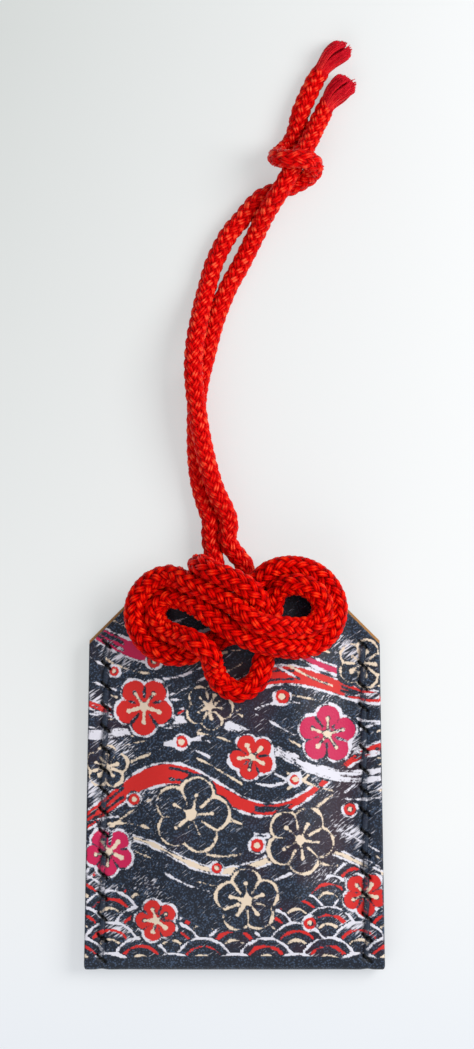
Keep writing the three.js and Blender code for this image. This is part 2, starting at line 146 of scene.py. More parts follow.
def make_object(
    name: str,
    points: Array,
    quads: Array,
    triangles: Array,
    material: bpy.types.Material,
    attributes: Values | None = None,
    sharp_degrees: float = 180.0,
) -> bpy.types.Object:
    """Puts arrays into a mesh object at the origin.

    Args:
        name: The piece's name.
        points: Vertices in millimetres, of shape (n, 3).
        quads: Corner numbers of the four-sided faces, of shape (m, 4).
        triangles: Corner numbers of the three-sided faces, of shape (k, 3).
        material: The piece's finish.
        attributes: Values for each vertex, by attribute name.
        sharp_degrees: The angle past which an edge is shaded sharp.

    Returns:
        The object, linked to the scene.
    """
    mesh = bpy.data.meshes.new(name)
    corners = np.concatenate([quads.ravel(), triangles.ravel()]).astype(np.int32)
    sizes = np.concatenate([np.full(len(quads), 4), np.full(len(triangles), 3)])
    starts = np.concatenate([[0], np.cumsum(sizes)[:-1]]).astype(np.int32)
    mesh.vertices.add(len(points))
    mesh.vertices.foreach_set("co", (points * MM).astype(np.float32).ravel())
    mesh.loops.add(len(corners))
    mesh.loops.foreach_set("vertex_index", corners)
    mesh.polygons.add(len(sizes))
    mesh.polygons.foreach_set("loop_start", starts)
    mesh.polygons.foreach_set("use_smooth", np.ones(len(sizes), bool))
    mesh.update(calc_edges=True)
    for key, values in (attributes or {}).items():
        layer = mesh.attributes.new(key, "FLOAT", "POINT")
        layer.data.foreach_set("value", values.astype(np.float32).ravel())
    mesh.set_sharp_from_angle(angle=math.radians(sharp_degrees))
    mesh.materials.append(material)
    made = bpy.data.objects.new(name, mesh)
    bpy.context.collection.objects.link(made)
    return made


def place(piece: bpy.types.Object, body: str, slot: str, *nodes: str) -> None:
    """Makes a piece ride on a body and stand for CAD nodes.

    Args:
        piece: The piece.
        body: The body that carries it.
        slot: The record's material slot, which is not used.
        nodes: The CAD nodes that it stands for.
    """
    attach(piece, body)
    if nodes:
        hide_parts(*nodes)


def per_vertex(values: Values, shape: tuple[int, ...]) -> Values:
    """Spreads values over a grid and gives one for each of its vertices."""
    return {key: np.broadcast_to(value, shape).reshape(-1) for key, value in values.items()}


def grid_quads(rows: int, columns: int, closed: bool = False) -> Array:
    """Numbers the quads of a grid whose vertices run along its columns first.

    Args:
        rows: Vertices along the first parameter.
        columns: Vertices along the second parameter.
        closed: Whether the last column joins the first.

    Returns:
        Corner numbers, of shape (faces, 4).
    """
    row = np.arange(rows - 1)[:, None] * columns
    column = np.arange(columns if closed else columns - 1)[None]
    after = (column + 1) % columns
    ring = [row + column, row + columns + column, row + columns + after, row + after]
    return np.stack(ring, -1).reshape(-1, 4)


def unit(vectors: Array) -> Array:
    """Scales vectors to length one along the last axis."""
    return vectors / np.maximum(np.linalg.norm(vectors, axis=-1, keepdims=True), TINY)


def smooth_step(values: Array, low: float, high: float) -> Array:
    """Rises smoothly from 0 at low to 1 at high."""
    share = np.clip((values - low) / (high - low), 0, 1)
    return share * share * (3 - 2 * share)


def travelled(path: Array) -> Array:
    """Gives the distance run from a path's start to each of its points."""
    return np.concatenate([[0], np.cumsum(np.linalg.norm(np.diff(path, axis=0), axis=1))])


def smooth_route(points: Array, spacing: float) -> Array:
    """Runs a centripetal Catmull-Rom curve through points, evenly sampled.

    Each span is a cubic whose end slopes come from its neighbours, with knots spaced by the square root
    of the distance between points; the ends are continued by reflection.

    Args:
        points: The route's points, of shape (n, 3).
        spacing: The distance between samples, in the points' unit.

    Returns:
        Samples along the curve, of shape (m, 3).
    """
    padded = np.vstack([2 * points[0] - points[1], points, 2 * points[-1] - points[-2]])
    first, start, end, last = padded[:-3], padded[1:-2], padded[2:-1], padded[3:]
    before = np.sqrt(np.linalg.norm(start - first, axis=1))[:, None]
    here = np.sqrt(np.linalg.norm(end - start, axis=1))[:, None]
    after = np.sqrt(np.linalg.norm(last - end, axis=1))[:, None]
    slope_in = (start - first) / before - (end - first) / (before + here) + (end - start) / here
    slope_out = (end - start) / here - (last - start) / (here + after) + (last - end) / after
    slope_in, slope_out = slope_in * here, slope_out * here
    share = np.linspace(0, 1, SPAN_SAMPLES, endpoint=False)[None, :, None]
    curve = (
        (2 * share**3 - 3 * share**2 + 1) * start[:, None]
        + (share**3 - 2 * share**2 + share) * slope_in[:, None]
        + (3 * share**2 - 2 * share**3) * end[:, None]
        + (share**3 - share**2) * slope_out[:, None]
    ).reshape(-1, 3)
    curve = np.vstack([curve, points[-1]])
    run = travelled(curve)
    stations = np.linspace(0, run[-1], max(2, round(run[-1] / spacing) + 1))
    return np.stack([np.interp(stations, run, line) for line in curve.T], 1)


def path_frames(path: Array) -> tuple[Array, Array]:
    """Carries a frame along a path without twist.

    Args:
        path: Points along the path, of shape (n, 3).

    Returns:
        Two directions square to the path and to each other, which turn as little as they can.
    """
    tangents = unit(np.gradient(path, axis=0))
    sides = np.zeros_like(path)
    side = np.cross(tangents[0], UPWARD)
    side = side if np.linalg.norm(side) > UPRIGHT_LIMIT else np.array([1.0, 0.0, 0.0])
    for i, tangent in enumerate(tangents):
        side = unit(side - tangent * np.dot(side, tangent))
        sides[i] = side
    return sides, np.cross(tangents, sides)


def level_frames(centres: Array) -> tuple[Array, Array]:
    """Gives the level direction across each of many lines, and the one square to it and to the line.

    Args:
        centres: Points along the lines, of shape (lines, stations, 3).

    Returns:
        The directions across and out, of the same shape.
    """
    along = unit(np.gradient(centres, axis=1))
    across = unit(np.cross(along, UPWARD))
    return across, np.cross(across, along)


def tube_bundle(centres: Array, across: Array, out: Array, section: Array) -> Arrays:
    """Sweeps one closed section along many lines.

    A point is the line's point plus the section's first part times across plus its second part times out.

    Args:
        centres: Points along the lines, of shape (lines, stations, 3).
        across: The section's first direction at each station, scaled as the section is to be.
        out: Its second direction, in the same way.
        section: The section's outline, anticlockwise seen against the line, of shape (sides, 2).

    Returns:
        Vertices, quads along the tubes and triangles that close their ends.
    """
    lines, stations, sides = len(centres), centres.shape[1], len(section)
    points = (
        centres[:, :, None]
        + across[:, :, None] * section[None, None, :, :1]
        + out[:, :, None] * section[None, None, :, 1:]
    )
    step = (np.arange(lines) * stations * sides)[:, None, None]
    quads = (grid_quads(stations, sides, closed=True)[None] + step).reshape(-1, 4)
    corner = np.arange(1, sides - 1)
    start = np.stack([np.zeros_like(corner), corner, corner + 1], 1)
    end = start[:, ::-1] + (stations - 1) * sides
    triangles = (np.concatenate([start, end])[None] + step).reshape(-1, 3)
    return points.reshape(-1, 3), quads, triangles


def ellipse(sides: int, width: float, height: float) -> Array:
    """Gives an ellipse's outline that starts at its lowest point."""
    angle = -math.pi / 2 + 2 * math.pi * np.arange(sides) / sides
    return np.stack([width / 2 * np.cos(angle), height / 2 * np.sin(angle)], 1)


def zip_edges(fine: Array, coarse: Array, stride: int) -> Array:
    """Joins a closed line of vertices to another that has one vertex for every few of the first.

    Args:
        fine: Vertex numbers of the finer line, as many as the coarser line's times the stride.
        coarse: Vertex numbers of the coarser line.
        stride: Fine vertices for each coarse one.

    Returns:
        Triangles: half of each fine run fans from the coarse vertex before it, half from the one after.
    """
    here, after = coarse, np.roll(coarse, -1)
    runs = np.concatenate([fine.reshape(-1, stride), np.roll(fine, -stride).reshape(-1, stride)[:, :1]], 1)
    half = stride // 2
    fans = [np.stack([here if k < half else after, runs[:, k], runs[:, k + 1]], 1) for k in range(stride)]
    bridge = np.stack([here, runs[:, half], after], 1)
    return np.concatenate([*fans, bridge])


class Body(str, Enum):
    """The bodies of the charm that move on their own and carry new pieces."""

    POUCH = "pouch"
    STRAP = "strap"


class Tint(str, Enum):
    """The print's colours, each with its own vertex field."""

    RED = "red_ink"
    PINK = "pink_ink"
    WHITE = "white_ink"
    CREAM = "cream_ink"
    MIST = "mist"
    PRINT = "printed"


# Each field where nothing is printed: a depth far outside its areas, and no brushwork.
UNPRINTED = {tint.value: -FAR_MM for tint in Tint} | {Tint.MIST.value: 0.0}


@dataclass(frozen=True)
class SilkCord:
    """Spun rayon yarn, plaited: glossy filaments with a painted orange-red highlight where they crown and
    painted wine-red shade below.

    The real filaments are a hundredth of a millimetre thick; they are drawn coarser, so that they show.
    Where they have come loose they turn crimson. The shifts set one yarn's pattern off from the next's.
    """

    # crown is a painted highlight where a strand crowns, and it also tints the gloss. flank and shade are
    # painted shade on a strand's flanks and float ends and where it sinks into the plait; shade is also the
    # dark end of loose filaments' tones. body is the yarn's own red.
    crown: str = "#ff3e18"
    body: str = "#e60402"
    flank_shade: str = "#a60103"
    shade: str = "#5c0002"
    loose: str = "#d8162c"
    flank_tone: float = 0.35
    body_tone: float = 0.76
    filament_mm: float = 0.2
    filament_length_mm: float = 0.9
    filament_detail: float = 3.0
    yarn_shift: float = 3.0
    patch_mm: float = 2.5
    patch_length_mm: float = 2.0
    patch_shift: float = 2.1
    patch_detail: float = 1.0
    patch_weight: float = 0.4
    usual_noise: tuple[float, float] = (0.5, 0.9)
    unevenness: float = 0.24
    gloss: float = 0.3
    roughness: float = 0.42
    relief: float = 0.55
    relief_mm: float = 0.12

    def material(self, name: str) -> bpy.types.Material:
        """Builds the yarn's material from its lift, which carries painted light, and from its fibre lines.

        Args:
            name: The material's name.

        Returns:
            The material. It reads the vertex values lift, along, around, yarn and loose.
        """
        material, add, shader = new_material(name)
        lift, along, around, yarn, loose = (
            add("Attribute", output="Fac", attribute_name=key)
            for key in ("lift", "along", "around", "yarn", "loose")
        )
        lay = add("CombineXYZ", {0: along, 1: around, 2: yarn})
        drawn_out = (1 / self.filament_length_mm, 1 / self.filament_mm, self.yarn_shift)
        lengthwise = add("Mapping", {"Vector": lay, "Scale": drawn_out})
        fibres = add("TexNoise", {"Vector": lengthwise, "Scale": 1.0, "Detail": self.filament_detail})
        broad = (1 / self.patch_length_mm, 1 / self.patch_mm, self.patch_shift)
        broadened = add("Mapping", {"Vector": lay, "Scale": broad})
        patches = add("TexNoise", {"Vector": broadened, "Scale": 1.0, "Detail": self.patch_detail})
        weighted = {0: patches, 1: self.patch_weight, 2: fibres}
        noise = add("Math", weighted, operation="MULTIPLY_ADD")
        low, high = self.usual_noise
        spread = {VALUE: noise, LOW: low, HIGH: high, TO_LOW: -self.unevenness, TO_HIGH: self.unevenness}
        uneven = add("MapRange", spread)
        tone = add("Math", {0: lift, 1: uneven}, operation="ADD")
        ramp = add("ValToRGB", {0: tone})
        # The ramp paints shade at low tones, where a strand sinks into the plait, and a highlight at the
        # top, where it crowns.
        stops = ramp.node.color_ramp.elements
        stops[0].color = linear(self.shade)
        stops[1].color = linear(self.crown)
        stops.new(self.flank_tone).color = linear(self.flank_shade)
        stops.new(self.body_tone).color = linear(self.body)
        shades = {SHARE: tone, UNDER: linear(self.shade), OVER: linear(self.loose)}
        crimson = add("Mix", shades, **COLOUR_MIX)
        colour = add("Mix", {SHARE: loose, UNDER: ramp, OVER: crimson}, **COLOUR_MIX)
        relief = {"Height": fibres, "Strength": self.relief, "Distance": self.relief_mm * MM}
        wire(shader, {
            "Base Color": colour,
            "Roughness": self.roughness,
            "Specular IOR Level": self.gloss,
            "Specular Tint": linear(self.crown),
            "Normal": add("Bump", relief),
        })
        return material


@dataclass(frozen=True)
class BraidedCord:
    """A round plait, half its carriers turning each way, each over two and under two, in millimetres.

    A carrier lays down a few strands side by side, round a core that closes the gaps between them. A
    strand's tone is painted light: it runs from a low tone of painted shade in the plait, at its float ends
    and on its flanks, to a crown tone of painted highlight where it crowns.
    """

    diameter: float = 4.6
    carriers: int = 16
    strands: int = 2
    row_pitch: float = 1.05
    strand_pitch: float = 0.5
    strand_width: float = 0.8
    strand_thickness: float = 0.88
    strand_sides: int = 4
    wave: float = 0.38
    painted_shade_tone: float = 0.1
    painted_highlight_tone: float = 0.95
    crown_sharpness: float = 1.3
    flank_share: float = 0.25
    loosening: float = 3.4
    loosening_slant: float = 0.9
    loosening_sink: float = 0.3
    step: float = 0.42
    core_diameter: float = 2.8
    core_sides: int = 10
    # The core is painted in shade, which shows in the gaps between the strands.
    core_shade_tone: float = -0.3

    def mesh_arrays(self, path: Array) -> tuple[Arrays, Values]:
        """Works out the strands round a path.

        A carrier's point is the path's point plus a radius times a direction that turns with the distance
        travelled. The radius swells and sinks as a cosine, one wave for every four crossings, and shrinks
        where the plait loosens at its end, sooner on one side. The strands lie next to that line.

        Args:
            path: The cord's centre line in millimetres, sampled every step.

        Returns:
            Vertices, quads and triangles, and the vertex values that the yarn's finish reads.
        """
        side, up = path_frames(path)
        run = travelled(path)[None]
        half = self.carriers // 2
        index = np.tile(np.arange(half), 2)[:, None]
        turn = np.repeat([1.0, -1.0], half)[:, None]
        crossings = run / self.row_pitch
        lead = self.row_pitch * self.carriers
        angle = 2 * math.pi * (index / half + turn * run / lead)
        lift = turn * np.cos(math.pi / 2 * (2 * index + turn * crossings - 0.5))
        middle = self.diameter / 2 - self.wave - self.strand_thickness / 2
        radial = np.cos(angle)[..., None] * side[None] + np.sin(angle)[..., None] * up[None]
        end = run[0, -1]
        loose = smooth_step(run + self.loosening_slant * np.cos(angle), end - self.loosening, end)
        radius = (middle + self.wave * lift) * (1 - self.loosening_sink * loose)
        centres = path[None] + radius[..., None] * radial
        along = unit(np.gradient(centres, axis=1))
        across = unit(np.cross(radial, along))
        out = unit(np.cross(along, across))
        lines = self.carriers * self.strands
        places = (np.arange(self.strands) - (self.strands - 1) / 2) * self.strand_pitch
        beside = np.tile(places, self.carriers)
        parts = (centres, across, out, lift, loose)
        centres, across, out, lift, loose = (np.repeat(part, self.strands, 0) for part in parts)
        centres = centres + beside[:, None, None] * across
        section = ellipse(self.strand_sides, self.strand_width, self.strand_thickness)
        height = section[:, 1] / self.strand_thickness + 0.5
        # Painted light: a strand is painted lighter where it crowns and on its upper side, and darker at
        # its float ends, on its flanks and where it sinks into the plait.
        painted_light = np.clip(lift, 0, 1)[..., None] ** self.crown_sharpness
        painted_light = painted_light * (self.flank_share + (1 - self.flank_share) * height[None, None])
        values = {
            "lift": self.painted_shade_tone + (self.painted_highlight_tone - self.painted_shade_tone) * painted_light,
            "along": run[..., None],
            "around": np.arange(self.strand_sides)[None, None] * self.strand_width / self.strand_sides,
            "yarn": np.arange(lines)[:, None, None] // self.strands,
            "loose": loose[..., None],
        }
        values = per_vertex(values, (lines, len(path), self.strand_sides))
        core_section = ellipse(self.core_sides, self.core_diameter, self.core_diameter)
        core = tube_bundle(path[None], side[None], up[None], core_section)
        return self.with_core(tube_bundle(centres, across, out, section), core, values)

    def with_core(self, yarns: Arrays, core: Arrays, values: Values) -> tuple[Arrays, Values]:
        """Adds the core to the yarns.

        Args:
            yarns: The yarns' vertices, quads and triangles.
            core: The core's, in the same order.
            values: The yarns' vertex values.

        Returns:
            The joined arrays and values.
        """
        points, quads, triangles = yarns
        count, shift = len(core[0]), len(points)
        # The core takes a tone below the ramp: painted shade in the gaps between the strands.
        filler = dict.fromkeys(values, np.zeros(count)) | {"lift": np.full(count, self.core_shade_tone)}
        joined = (
            np.concatenate([points, core[0]]),
            np.concatenate([quads, core[1] + shift]),
            np.concatenate([triangles, core[2] + shift]),
        )
        return joined, {key: np.concatenate([value, filler[key]]) for key, value in values.items()}

    def build(self, name: str, path: Array, material: bpy.types.Material) -> bpy.types.Object:
        """Makes the plait along a path as one piece."""
        arrays, values = self.mesh_arrays(path)
        return make_object(name, *arrays, material, values)


@dataclass(frozen=True)
class FrayedEnd:
    """A cut end of the cord whose filaments have sprung apart, in millimetres."""

    filaments: int = 420
    clumps: int = 8
    length: float = 9.2
    overlap: float = 2.8
    start_radius: float = 1.5
    end_radius: float = 2.5
    swollen_at: float = 0.8
    clump_lean: float = 0.4
    clump_reaches: tuple[float, float] = (0.85, 1.1)
    clump_lengths: tuple[float, float] = (0.86, 1.0)
    filament_lengths: tuple[float, float] = (0.92, 1.0)
    dome: float = 0.18
    wave: float = 0.2
    wave_turn: float = 5.0
    stray_phase: float = 0.6
    thickness: float = 0.28
    tip_taper: float = 0.4
    filament_tones: tuple[float, float] = (0.6, 1.0)
    clump_tones: tuple[float, float] = (-0.15, 0.2)
    root_looseness: float = 0.75
    stations: int = 9
    sides: int = 5
    floor: float = 0.15

    def build(
        self, name: str, spine: Array, material: bpy.types.Material, seed: int
    ) -> bpy.types.Object:
        """Makes the tuft at a cord's end.

        A filament starts on a disc inside the plait, in a sunflower's spiral, and runs on along the cord
        while its distance from the middle swells. Sectors of the disc stay together as clumps: each has its
        own length and reach, and its filaments lean towards its middle. The tips make a dome.

        Args:
            name: The piece's name.
            spine: The cord's last stretch, which starts an overlap before the braid's end.
            material: The filaments' finish.
            seed: The seed of its clumps.

        Returns:
            The piece.
        """
        chance = np.random.default_rng(seed)
        number = np.arange(self.filaments)
        angle = np.mod(number * math.pi * (3 - math.sqrt(5)), 2 * math.pi)
        share = np.sqrt((number + 0.5) / self.filaments)
        sector = 2 * math.pi / self.clumps
        clump = (angle / sector).astype(int)
        t = np.linspace(0, 1, self.stations)[None]
        to_middle = (clump + 0.5) * sector - angle
        turned = angle[:, None] + self.clump_lean * to_middle[:, None] * t**2
        way = unit(spine[-1] - spine[-2])
        side = unit(np.cross(way, UPWARD))
        up = np.cross(side, way)
        radial = np.cos(turned)[..., None] * side + np.sin(turned)[..., None] * up
        reach = self.end_radius * chance.uniform(*self.clump_reaches, self.clumps)[clump][:, None]
        swell = self.start_radius + (reach - self.start_radius) * smooth_step(t, 0.0, self.swollen_at)
        distance = share[:, None] * swell
        length = self.length * chance.uniform(*self.clump_lengths, self.clumps)[clump]
        length = length * (1 - self.dome * share**2)
        length = length * chance.uniform(*self.filament_lengths, self.filaments)
        phase = chance.uniform(0, 2 * math.pi, self.clumps)[clump]
        phase = phase + chance.uniform(-self.stray_phase, self.stray_phase, self.filaments)
        wave = self.wave * t * np.sin(self.wave_turn * t + phase[:, None])
        spine_run = travelled(spine)
        run = length[:, None] * t
        centres = np.stack([np.interp(run, spine_run, line) for line in spine.T], -1)
        centres = centres + np.maximum(run - spine_run[-1], 0)[..., None] * way
        centres = centres + distance[..., None] * radial + wave[..., None] * side
        centres[..., 2] = np.maximum(centres[..., 2], self.floor)
        across, out = level_frames(centres)
        taper = (1 - self.tip_taper * t)[..., None]
        section = ellipse(self.sides, self.thickness, self.thickness)
        arrays = tube_bundle(centres, across * taper, out * taper, section)
        tone = chance.uniform(*self.filament_tones, self.filaments)
        tone = tone + chance.uniform(*self.clump_tones, self.clumps)[clump]
        values = {
            "lift": tone[:, None, None],
            "along": (t * self.length)[..., None],
            "around": np.zeros((1, 1, 1)),
            "yarn": number[:, None, None],
            "loose": self.root_looseness + (1 - self.root_looseness) * t[..., None],
        }
        values = per_vertex(values, (self.filaments, self.stations, self.sides))
        return make_object(name, *arrays, material, values)


@dataclass(frozen=True)
class PulledTight:
    """How limp cords settle against each other where they are knotted or lie side by side, in millimetres.

    contact_share and own_stretch count in cord diameters, and pull and push are shares of a gap.
    """

    contact_share: float = 0.94
    own_stretch: float = 2.2
    reach: float = 1.5
    limit: float = 1.2
    hold: float = 3.0
    blur: float = 1.7
    nearness_fade: float = 0.25
    rounds: int = 60
    pull: float = 0.2
    push: float = 0.4

    def settle(self, paths: list[Array], diameter: float, step: float) -> list[Array]:
        """Draws strands together until they touch, and apart where they overlap.

        In each round a point moves along the line to the nearest points of other strands by a share of
        what is missing to the contact distance. The moves are then smoothed along the cord with a bell
        curve, kept under a limit, and faded out towards the cord's ends.

        Args:
            paths: Centre lines in millimetres, sampled every step.
            diameter: The cord's diameter.
            step: The distance between samples.

        Returns:
            The settled centre lines.
        """
        contact = self.contact_share * diameter
        counts = [len(path) for path in paths]
        splits = np.cumsum(counts)[:-1]
        home = np.concatenate(paths)
        cord = np.repeat(np.arange(len(paths)), counts)
        run = np.concatenate([np.arange(count) for count in counts]) * step
        to_end = np.concatenate([np.minimum(np.arange(n), np.arange(n)[::-1]) for n in counts]) * step
        free = np.clip((to_end - self.hold) / self.hold, 0, 1)[:, None]
        near_itself = np.abs(run[:, None] - run[None]) < self.own_stretch * diameter
        same = (cord[:, None] == cord[None]) & near_itself
        half = round(2 * self.blur / step)
        bell = np.exp(-0.5 * (np.arange(-half, half + 1) * step / self.blur) ** 2)
        bell = bell / bell.sum()
        moved = np.zeros_like(home)
        for _ in range(self.rounds):
            points = home + moved
            apart = points[:, None] - points[None]
            distance = np.where(same, np.inf, np.linalg.norm(apart, axis=2))
            gap = distance - contact
            share = np.where(gap < 0, self.push, self.pull) * np.where(gap < self.reach, gap, 0)
            nearness = np.exp((distance.min(1, keepdims=True) - distance) / self.nearness_fade)
            nearness = nearness * (gap < self.reach)
            share = share * nearness / np.maximum(nearness.sum(1, keepdims=True), TINY)
            pace = share / np.where(same, 1.0, distance)
            moved = moved - (pace[..., None] * apart).sum(1) * free
            padded = [np.pad(part, ((half, half), (0, 0)), mode="edge") for part in np.split(moved, splits)]
            moved = np.concatenate(
                [np.stack([np.convolve(line, bell, "valid") for line in part.T], 1) for part in padded]
            )
            size = np.linalg.norm(moved, axis=1, keepdims=True)
            moved = moved * np.minimum(1, self.limit / np.maximum(size, TINY)) * free
        return np.split(home + moved, splits)


@dataclass
class PouchShape:
    """The folded leather sheet's sizes in millimetres, as the frame has them."""

    width: float = 60.0
    shoulder_width: float = 58.0
    top_edge_width: float = 31.6
    height: float = 78.0
    shoulder_drop: float = 13.1
    thickness: float = 1.5
    layer_gap: float = 0.3
    chamfer_lip: float = 0.5
    seam_lift: float = 1.0
    seam_margin: float = 5.2
    crown_height: float = 3.5
    crown_run: float = 13.0
    fold_height: float = 0.9
    fold_run: float = 15.0
    seam_inset: float = 3.5
    stitches: int = 15
    last_stitch_above_fold: float = 2.3
    slit_half_length: float = 1.05

    @property
    def bottom(self) -> float:
        """The fold's y."""
        return -self.height / 2

    @property
    def mouth(self) -> float:
        """The front panel's top edge, as a y."""
        return self.height / 2

    @property
    def shoulder(self) -> float:
        """The y where the sides turn into the chamfers."""
        return self.mouth - self.shoulder_drop

    @property
    def seam_face(self) -> float:
        """The front panel's height along the seams."""
        return self.seam_lift + 2 * self.thickness + self.layer_gap

    @property
    def front_face(self) -> float:
        """The front panel's height on its crown."""
        return self.seam_face + self.crown_height

    @property
    def slit_way(self) -> Array:
        """The direction of the stitch slits, slanted by 45 degrees."""
        return np.array([-1.0, 1.0]) / math.sqrt(2)

    def side_half_width(self, y: Array) -> Array:
        """Gives half the width between the sewn sides, continued past the shoulders."""
        share = (y - self.bottom) / (self.shoulder - self.bottom)
        return (self.width + (self.shoulder_width - self.width) * share) / 2

    def half_width(self, y: Array, lip: float) -> Array:
        """Gives half a panel's width, chamfers included.

        Args:
            y: Heights on the panel.
            lip: How far the panel stands out past the front one on the chamfers.

        Returns:
            Half widths.
        """
        top = self.mouth + lip
        shoulder = self.shoulder + lip * math.sqrt(2)
        top_half = self.top_edge_width / 2 + lip * math.tan(math.pi / 8)
        share = np.clip((y - shoulder) / (top - shoulder), 0, 1)
        return self.side_half_width(np.minimum(y, shoulder)) * (1 - share) + top_half * share

    def front_height(self, x: Array, y: Array) -> Array:
        """Gives the front panel's outer height: flat along the seams, crowned in the middle.

        Args:
            x: Across the pouch.
            y: Up the pouch.

        Returns:
            Heights. The crown rises smoothly from the seams inwards and from the fold upwards.
        """
        inward = self.side_half_width(y) - np.abs(x)
        crown = smooth_step(inward, self.seam_margin, self.seam_margin + self.crown_run)
        rise = smooth_step(y, self.bottom, self.bottom + self.fold_run)
        return self.seam_face + (self.fold_height + (self.crown_height - self.fold_height) * rise) * crown

    def back_height(self, x: Array, y: Array) -> Array:
        """Gives the back panel's outer height: zero in the middle, lifted along the seams."""
        inward = self.side_half_width(y) - np.abs(x)
        return self.seam_lift * (1 - smooth_step(inward, self.seam_margin, 2 * self.seam_margin))

    def stitch_holes(self, side: int) -> Array:
        """Gives the stitch holes of one seam from the shoulder down, of shape (holes, 2)."""
        y = np.linspace(self.shoulder, self.bottom + self.last_stitch_above_fold, self.stitches + 1)
        return np.stack([side * (self.side_half_width(y) - self.seam_inset), y], 1)

    def slit_distance(self, x: Array, y: Array) -> Array:
        """Gives the distance to the nearest stitch slit, each a short slanted line.

        Args:
            x: Across the pouch.
            y: Up the pouch.

        Returns:
            Distances: what is left of the way to a slit's middle past the slit's own reach.
        """
        holes = np.concatenate([self.stitch_holes(-1), self.stitch_holes(1)])
        gap = np.stack([x, y], -1)[..., None, :] - holes
        along = np.clip(gap @ self.slit_way, -self.slit_half_length, self.slit_half_length)
        return np.linalg.norm(gap - along[..., None] * self.slit_way, axis=-1).min(-1)


@dataclass
class Canvas:
    """Points of the front, with the depth of each inside every colour's areas, in millimetres."""

    x: Array
    y: Array
    inks: Values
    outline: float = 0.4

    def widen(self, depth: Array, tint: Tint) -> None:
        """Adds an area to those of one colour."""
        self.inks[tint.value] = np.maximum(self.inks[tint.value], depth)

    def cover(self, depth: Array, tint: Tint | None) -> None:
        """Lays an area over the rest: its depth is taken from every colour and added to its own.

        Args:
            depth: The depth inside the area.
            tint: The area's colour, or none for bare black.
        """
        for key in self.inks:
            self.inks[key] = np.minimum(self.inks[key], -depth)
        if tint is not None:
            self.widen(depth, tint)

    def cover_outlined(self, depth: Array, gap: float, edge: Tint, tint: Tint | None) -> None:
        """Lays an area with an outline and a black gap round it.

        Args:
            depth: The depth inside the area.
            gap: How far out the gap reaches, in outlines.
            edge: The outline's colour.
            tint: The area's colour, or none for bare black.
        """
        for reach, colour in ((gap, None), (1.0, edge), (0.0, tint)):
            self.cover(depth + reach * self.outline, colour)


@dataclass(frozen=True)
class WaveScales:
    """Overlapping wave scales under a shore line, in millimetres.

    Rows, rings and sink count in the scales' radius. The shore rises towards the sides and ripples.
    """

    bottom: float
    radius: float = 6.2
    rows: int = 9
    row_pitch: float = 0.5
    sink: float = 0.4
    rings: tuple[tuple[float, float, Tint], ...] = (
        (0.90, 1.0, Tint.WHITE), (0.64, 0.72, Tint.RED), (0.36, 0.42, Tint.CREAM),
    )
    shore_height: float = -29.0
    shore_rise: float = 11.0
    shore_middle: float = -3.0
    shore_from: float = 6.0
    shore_to: float = 27.0
    ripple: float = 1.5
    ripple_length: float = 3.0

    def paint(self, canvas: Canvas) -> None:
        """Paints rings round centres on staggered rows, the lowest row in front.

        Args:
            canvas: What they are painted on.
        """
        x, y, radius = canvas.x, canvas.y, self.radius
        distance = np.full(x.shape, self.rows * radius)
        for row in range(self.rows):
            row_y = self.bottom - self.sink * radius + self.row_pitch * radius * row
            shift = radius * (row % 2)
            offset = np.mod(x - shift + radius, 2 * radius) - radius
            here = np.hypot(offset, y - row_y)
            distance = np.where((distance > radius) & (here < radius), here, distance)
        rise = self.shore_rise * smooth_step(np.abs(x - self.shore_middle), self.shore_from, self.shore_to)
        below_shore = self.shore_height + rise + self.ripple * np.sin(x / self.ripple_length) - y
        for low, high, tint in self.rings:
            ring = np.minimum(high * radius - distance, distance - low * radius)
            canvas.widen(np.minimum(ring, below_shore), tint)


@dataclass(frozen=True)
class Dashes:
    """A line broken into even dashes across the pouch, in millimetres."""

    half_length: float
    pitch: float
    middle: float

    def depth(self, x: Array) -> Array:
        """Gives the depth inside the dashes: half a dash less the distance from its middle."""
        return self.half_length - np.abs(np.mod(x, self.pitch) - self.middle)


@dataclass(frozen=True)
class Stream:
    """One flowing band of water, in millimetres; its black gap counts in outlines.

    Its middle is a sine wave on a slope, and its breadth swells.
    """

    height: float
    swing: float
    wavelength: float
    phase: float
    slope: float
    half_breadth: float
    tint: Tint
    swell: float = 0.45
    swell_rate: float = 0.6
    gap: float = 2.2
    dark_half_line: float = 0.3
    dark_line_depth: float = 0.9
    dark_dashes: Dashes = Dashes(4.0, 17.0, 8.0)
    fine_half_line: float = 0.15
    fine_lines: tuple[tuple[float, Tint], ...] = ((2.4, Tint.CREAM), (3.7, Tint.WHITE))
    fine_dashes: Dashes = Dashes(4.5, 18.0, 9.0)
    fine_shift: float = 5.0

    def paint(self, canvas: Canvas) -> None:
        """Paints the band with a white edge, dark dashes and fine lines that follow its flow.

        The depth inside it is half its breadth less the distance from its middle line.

        Args:
            canvas: What it is painted on.
        """
        x = canvas.x
        turn = 2 * math.pi * x / self.wavelength + self.phase
        middle = self.height + self.swing * np.sin(turn) + self.slope * x
        steepness = self.slope + 2 * math.pi * self.swing / self.wavelength * np.cos(turn)
        breadth = self.half_breadth * (1 + self.swell * np.sin(self.swell_rate * turn + 2 * self.phase))
        depth = (breadth - np.abs(canvas.y - middle)) / np.sqrt(1 + steepness**2)
        canvas.cover_outlined(depth, self.gap, Tint.WHITE, self.tint)
        dark_line = self.dark_half_line - np.abs(depth - self.dark_line_depth)
        canvas.cover(np.minimum(dark_line, self.dark_dashes.depth(x)), None)
        for away, tint in self.fine_lines:
            line = self.fine_half_line - np.abs(depth + away)
            canvas.cover(np.minimum(line, self.fine_dashes.depth(x + self.fine_shift * away)), tint)


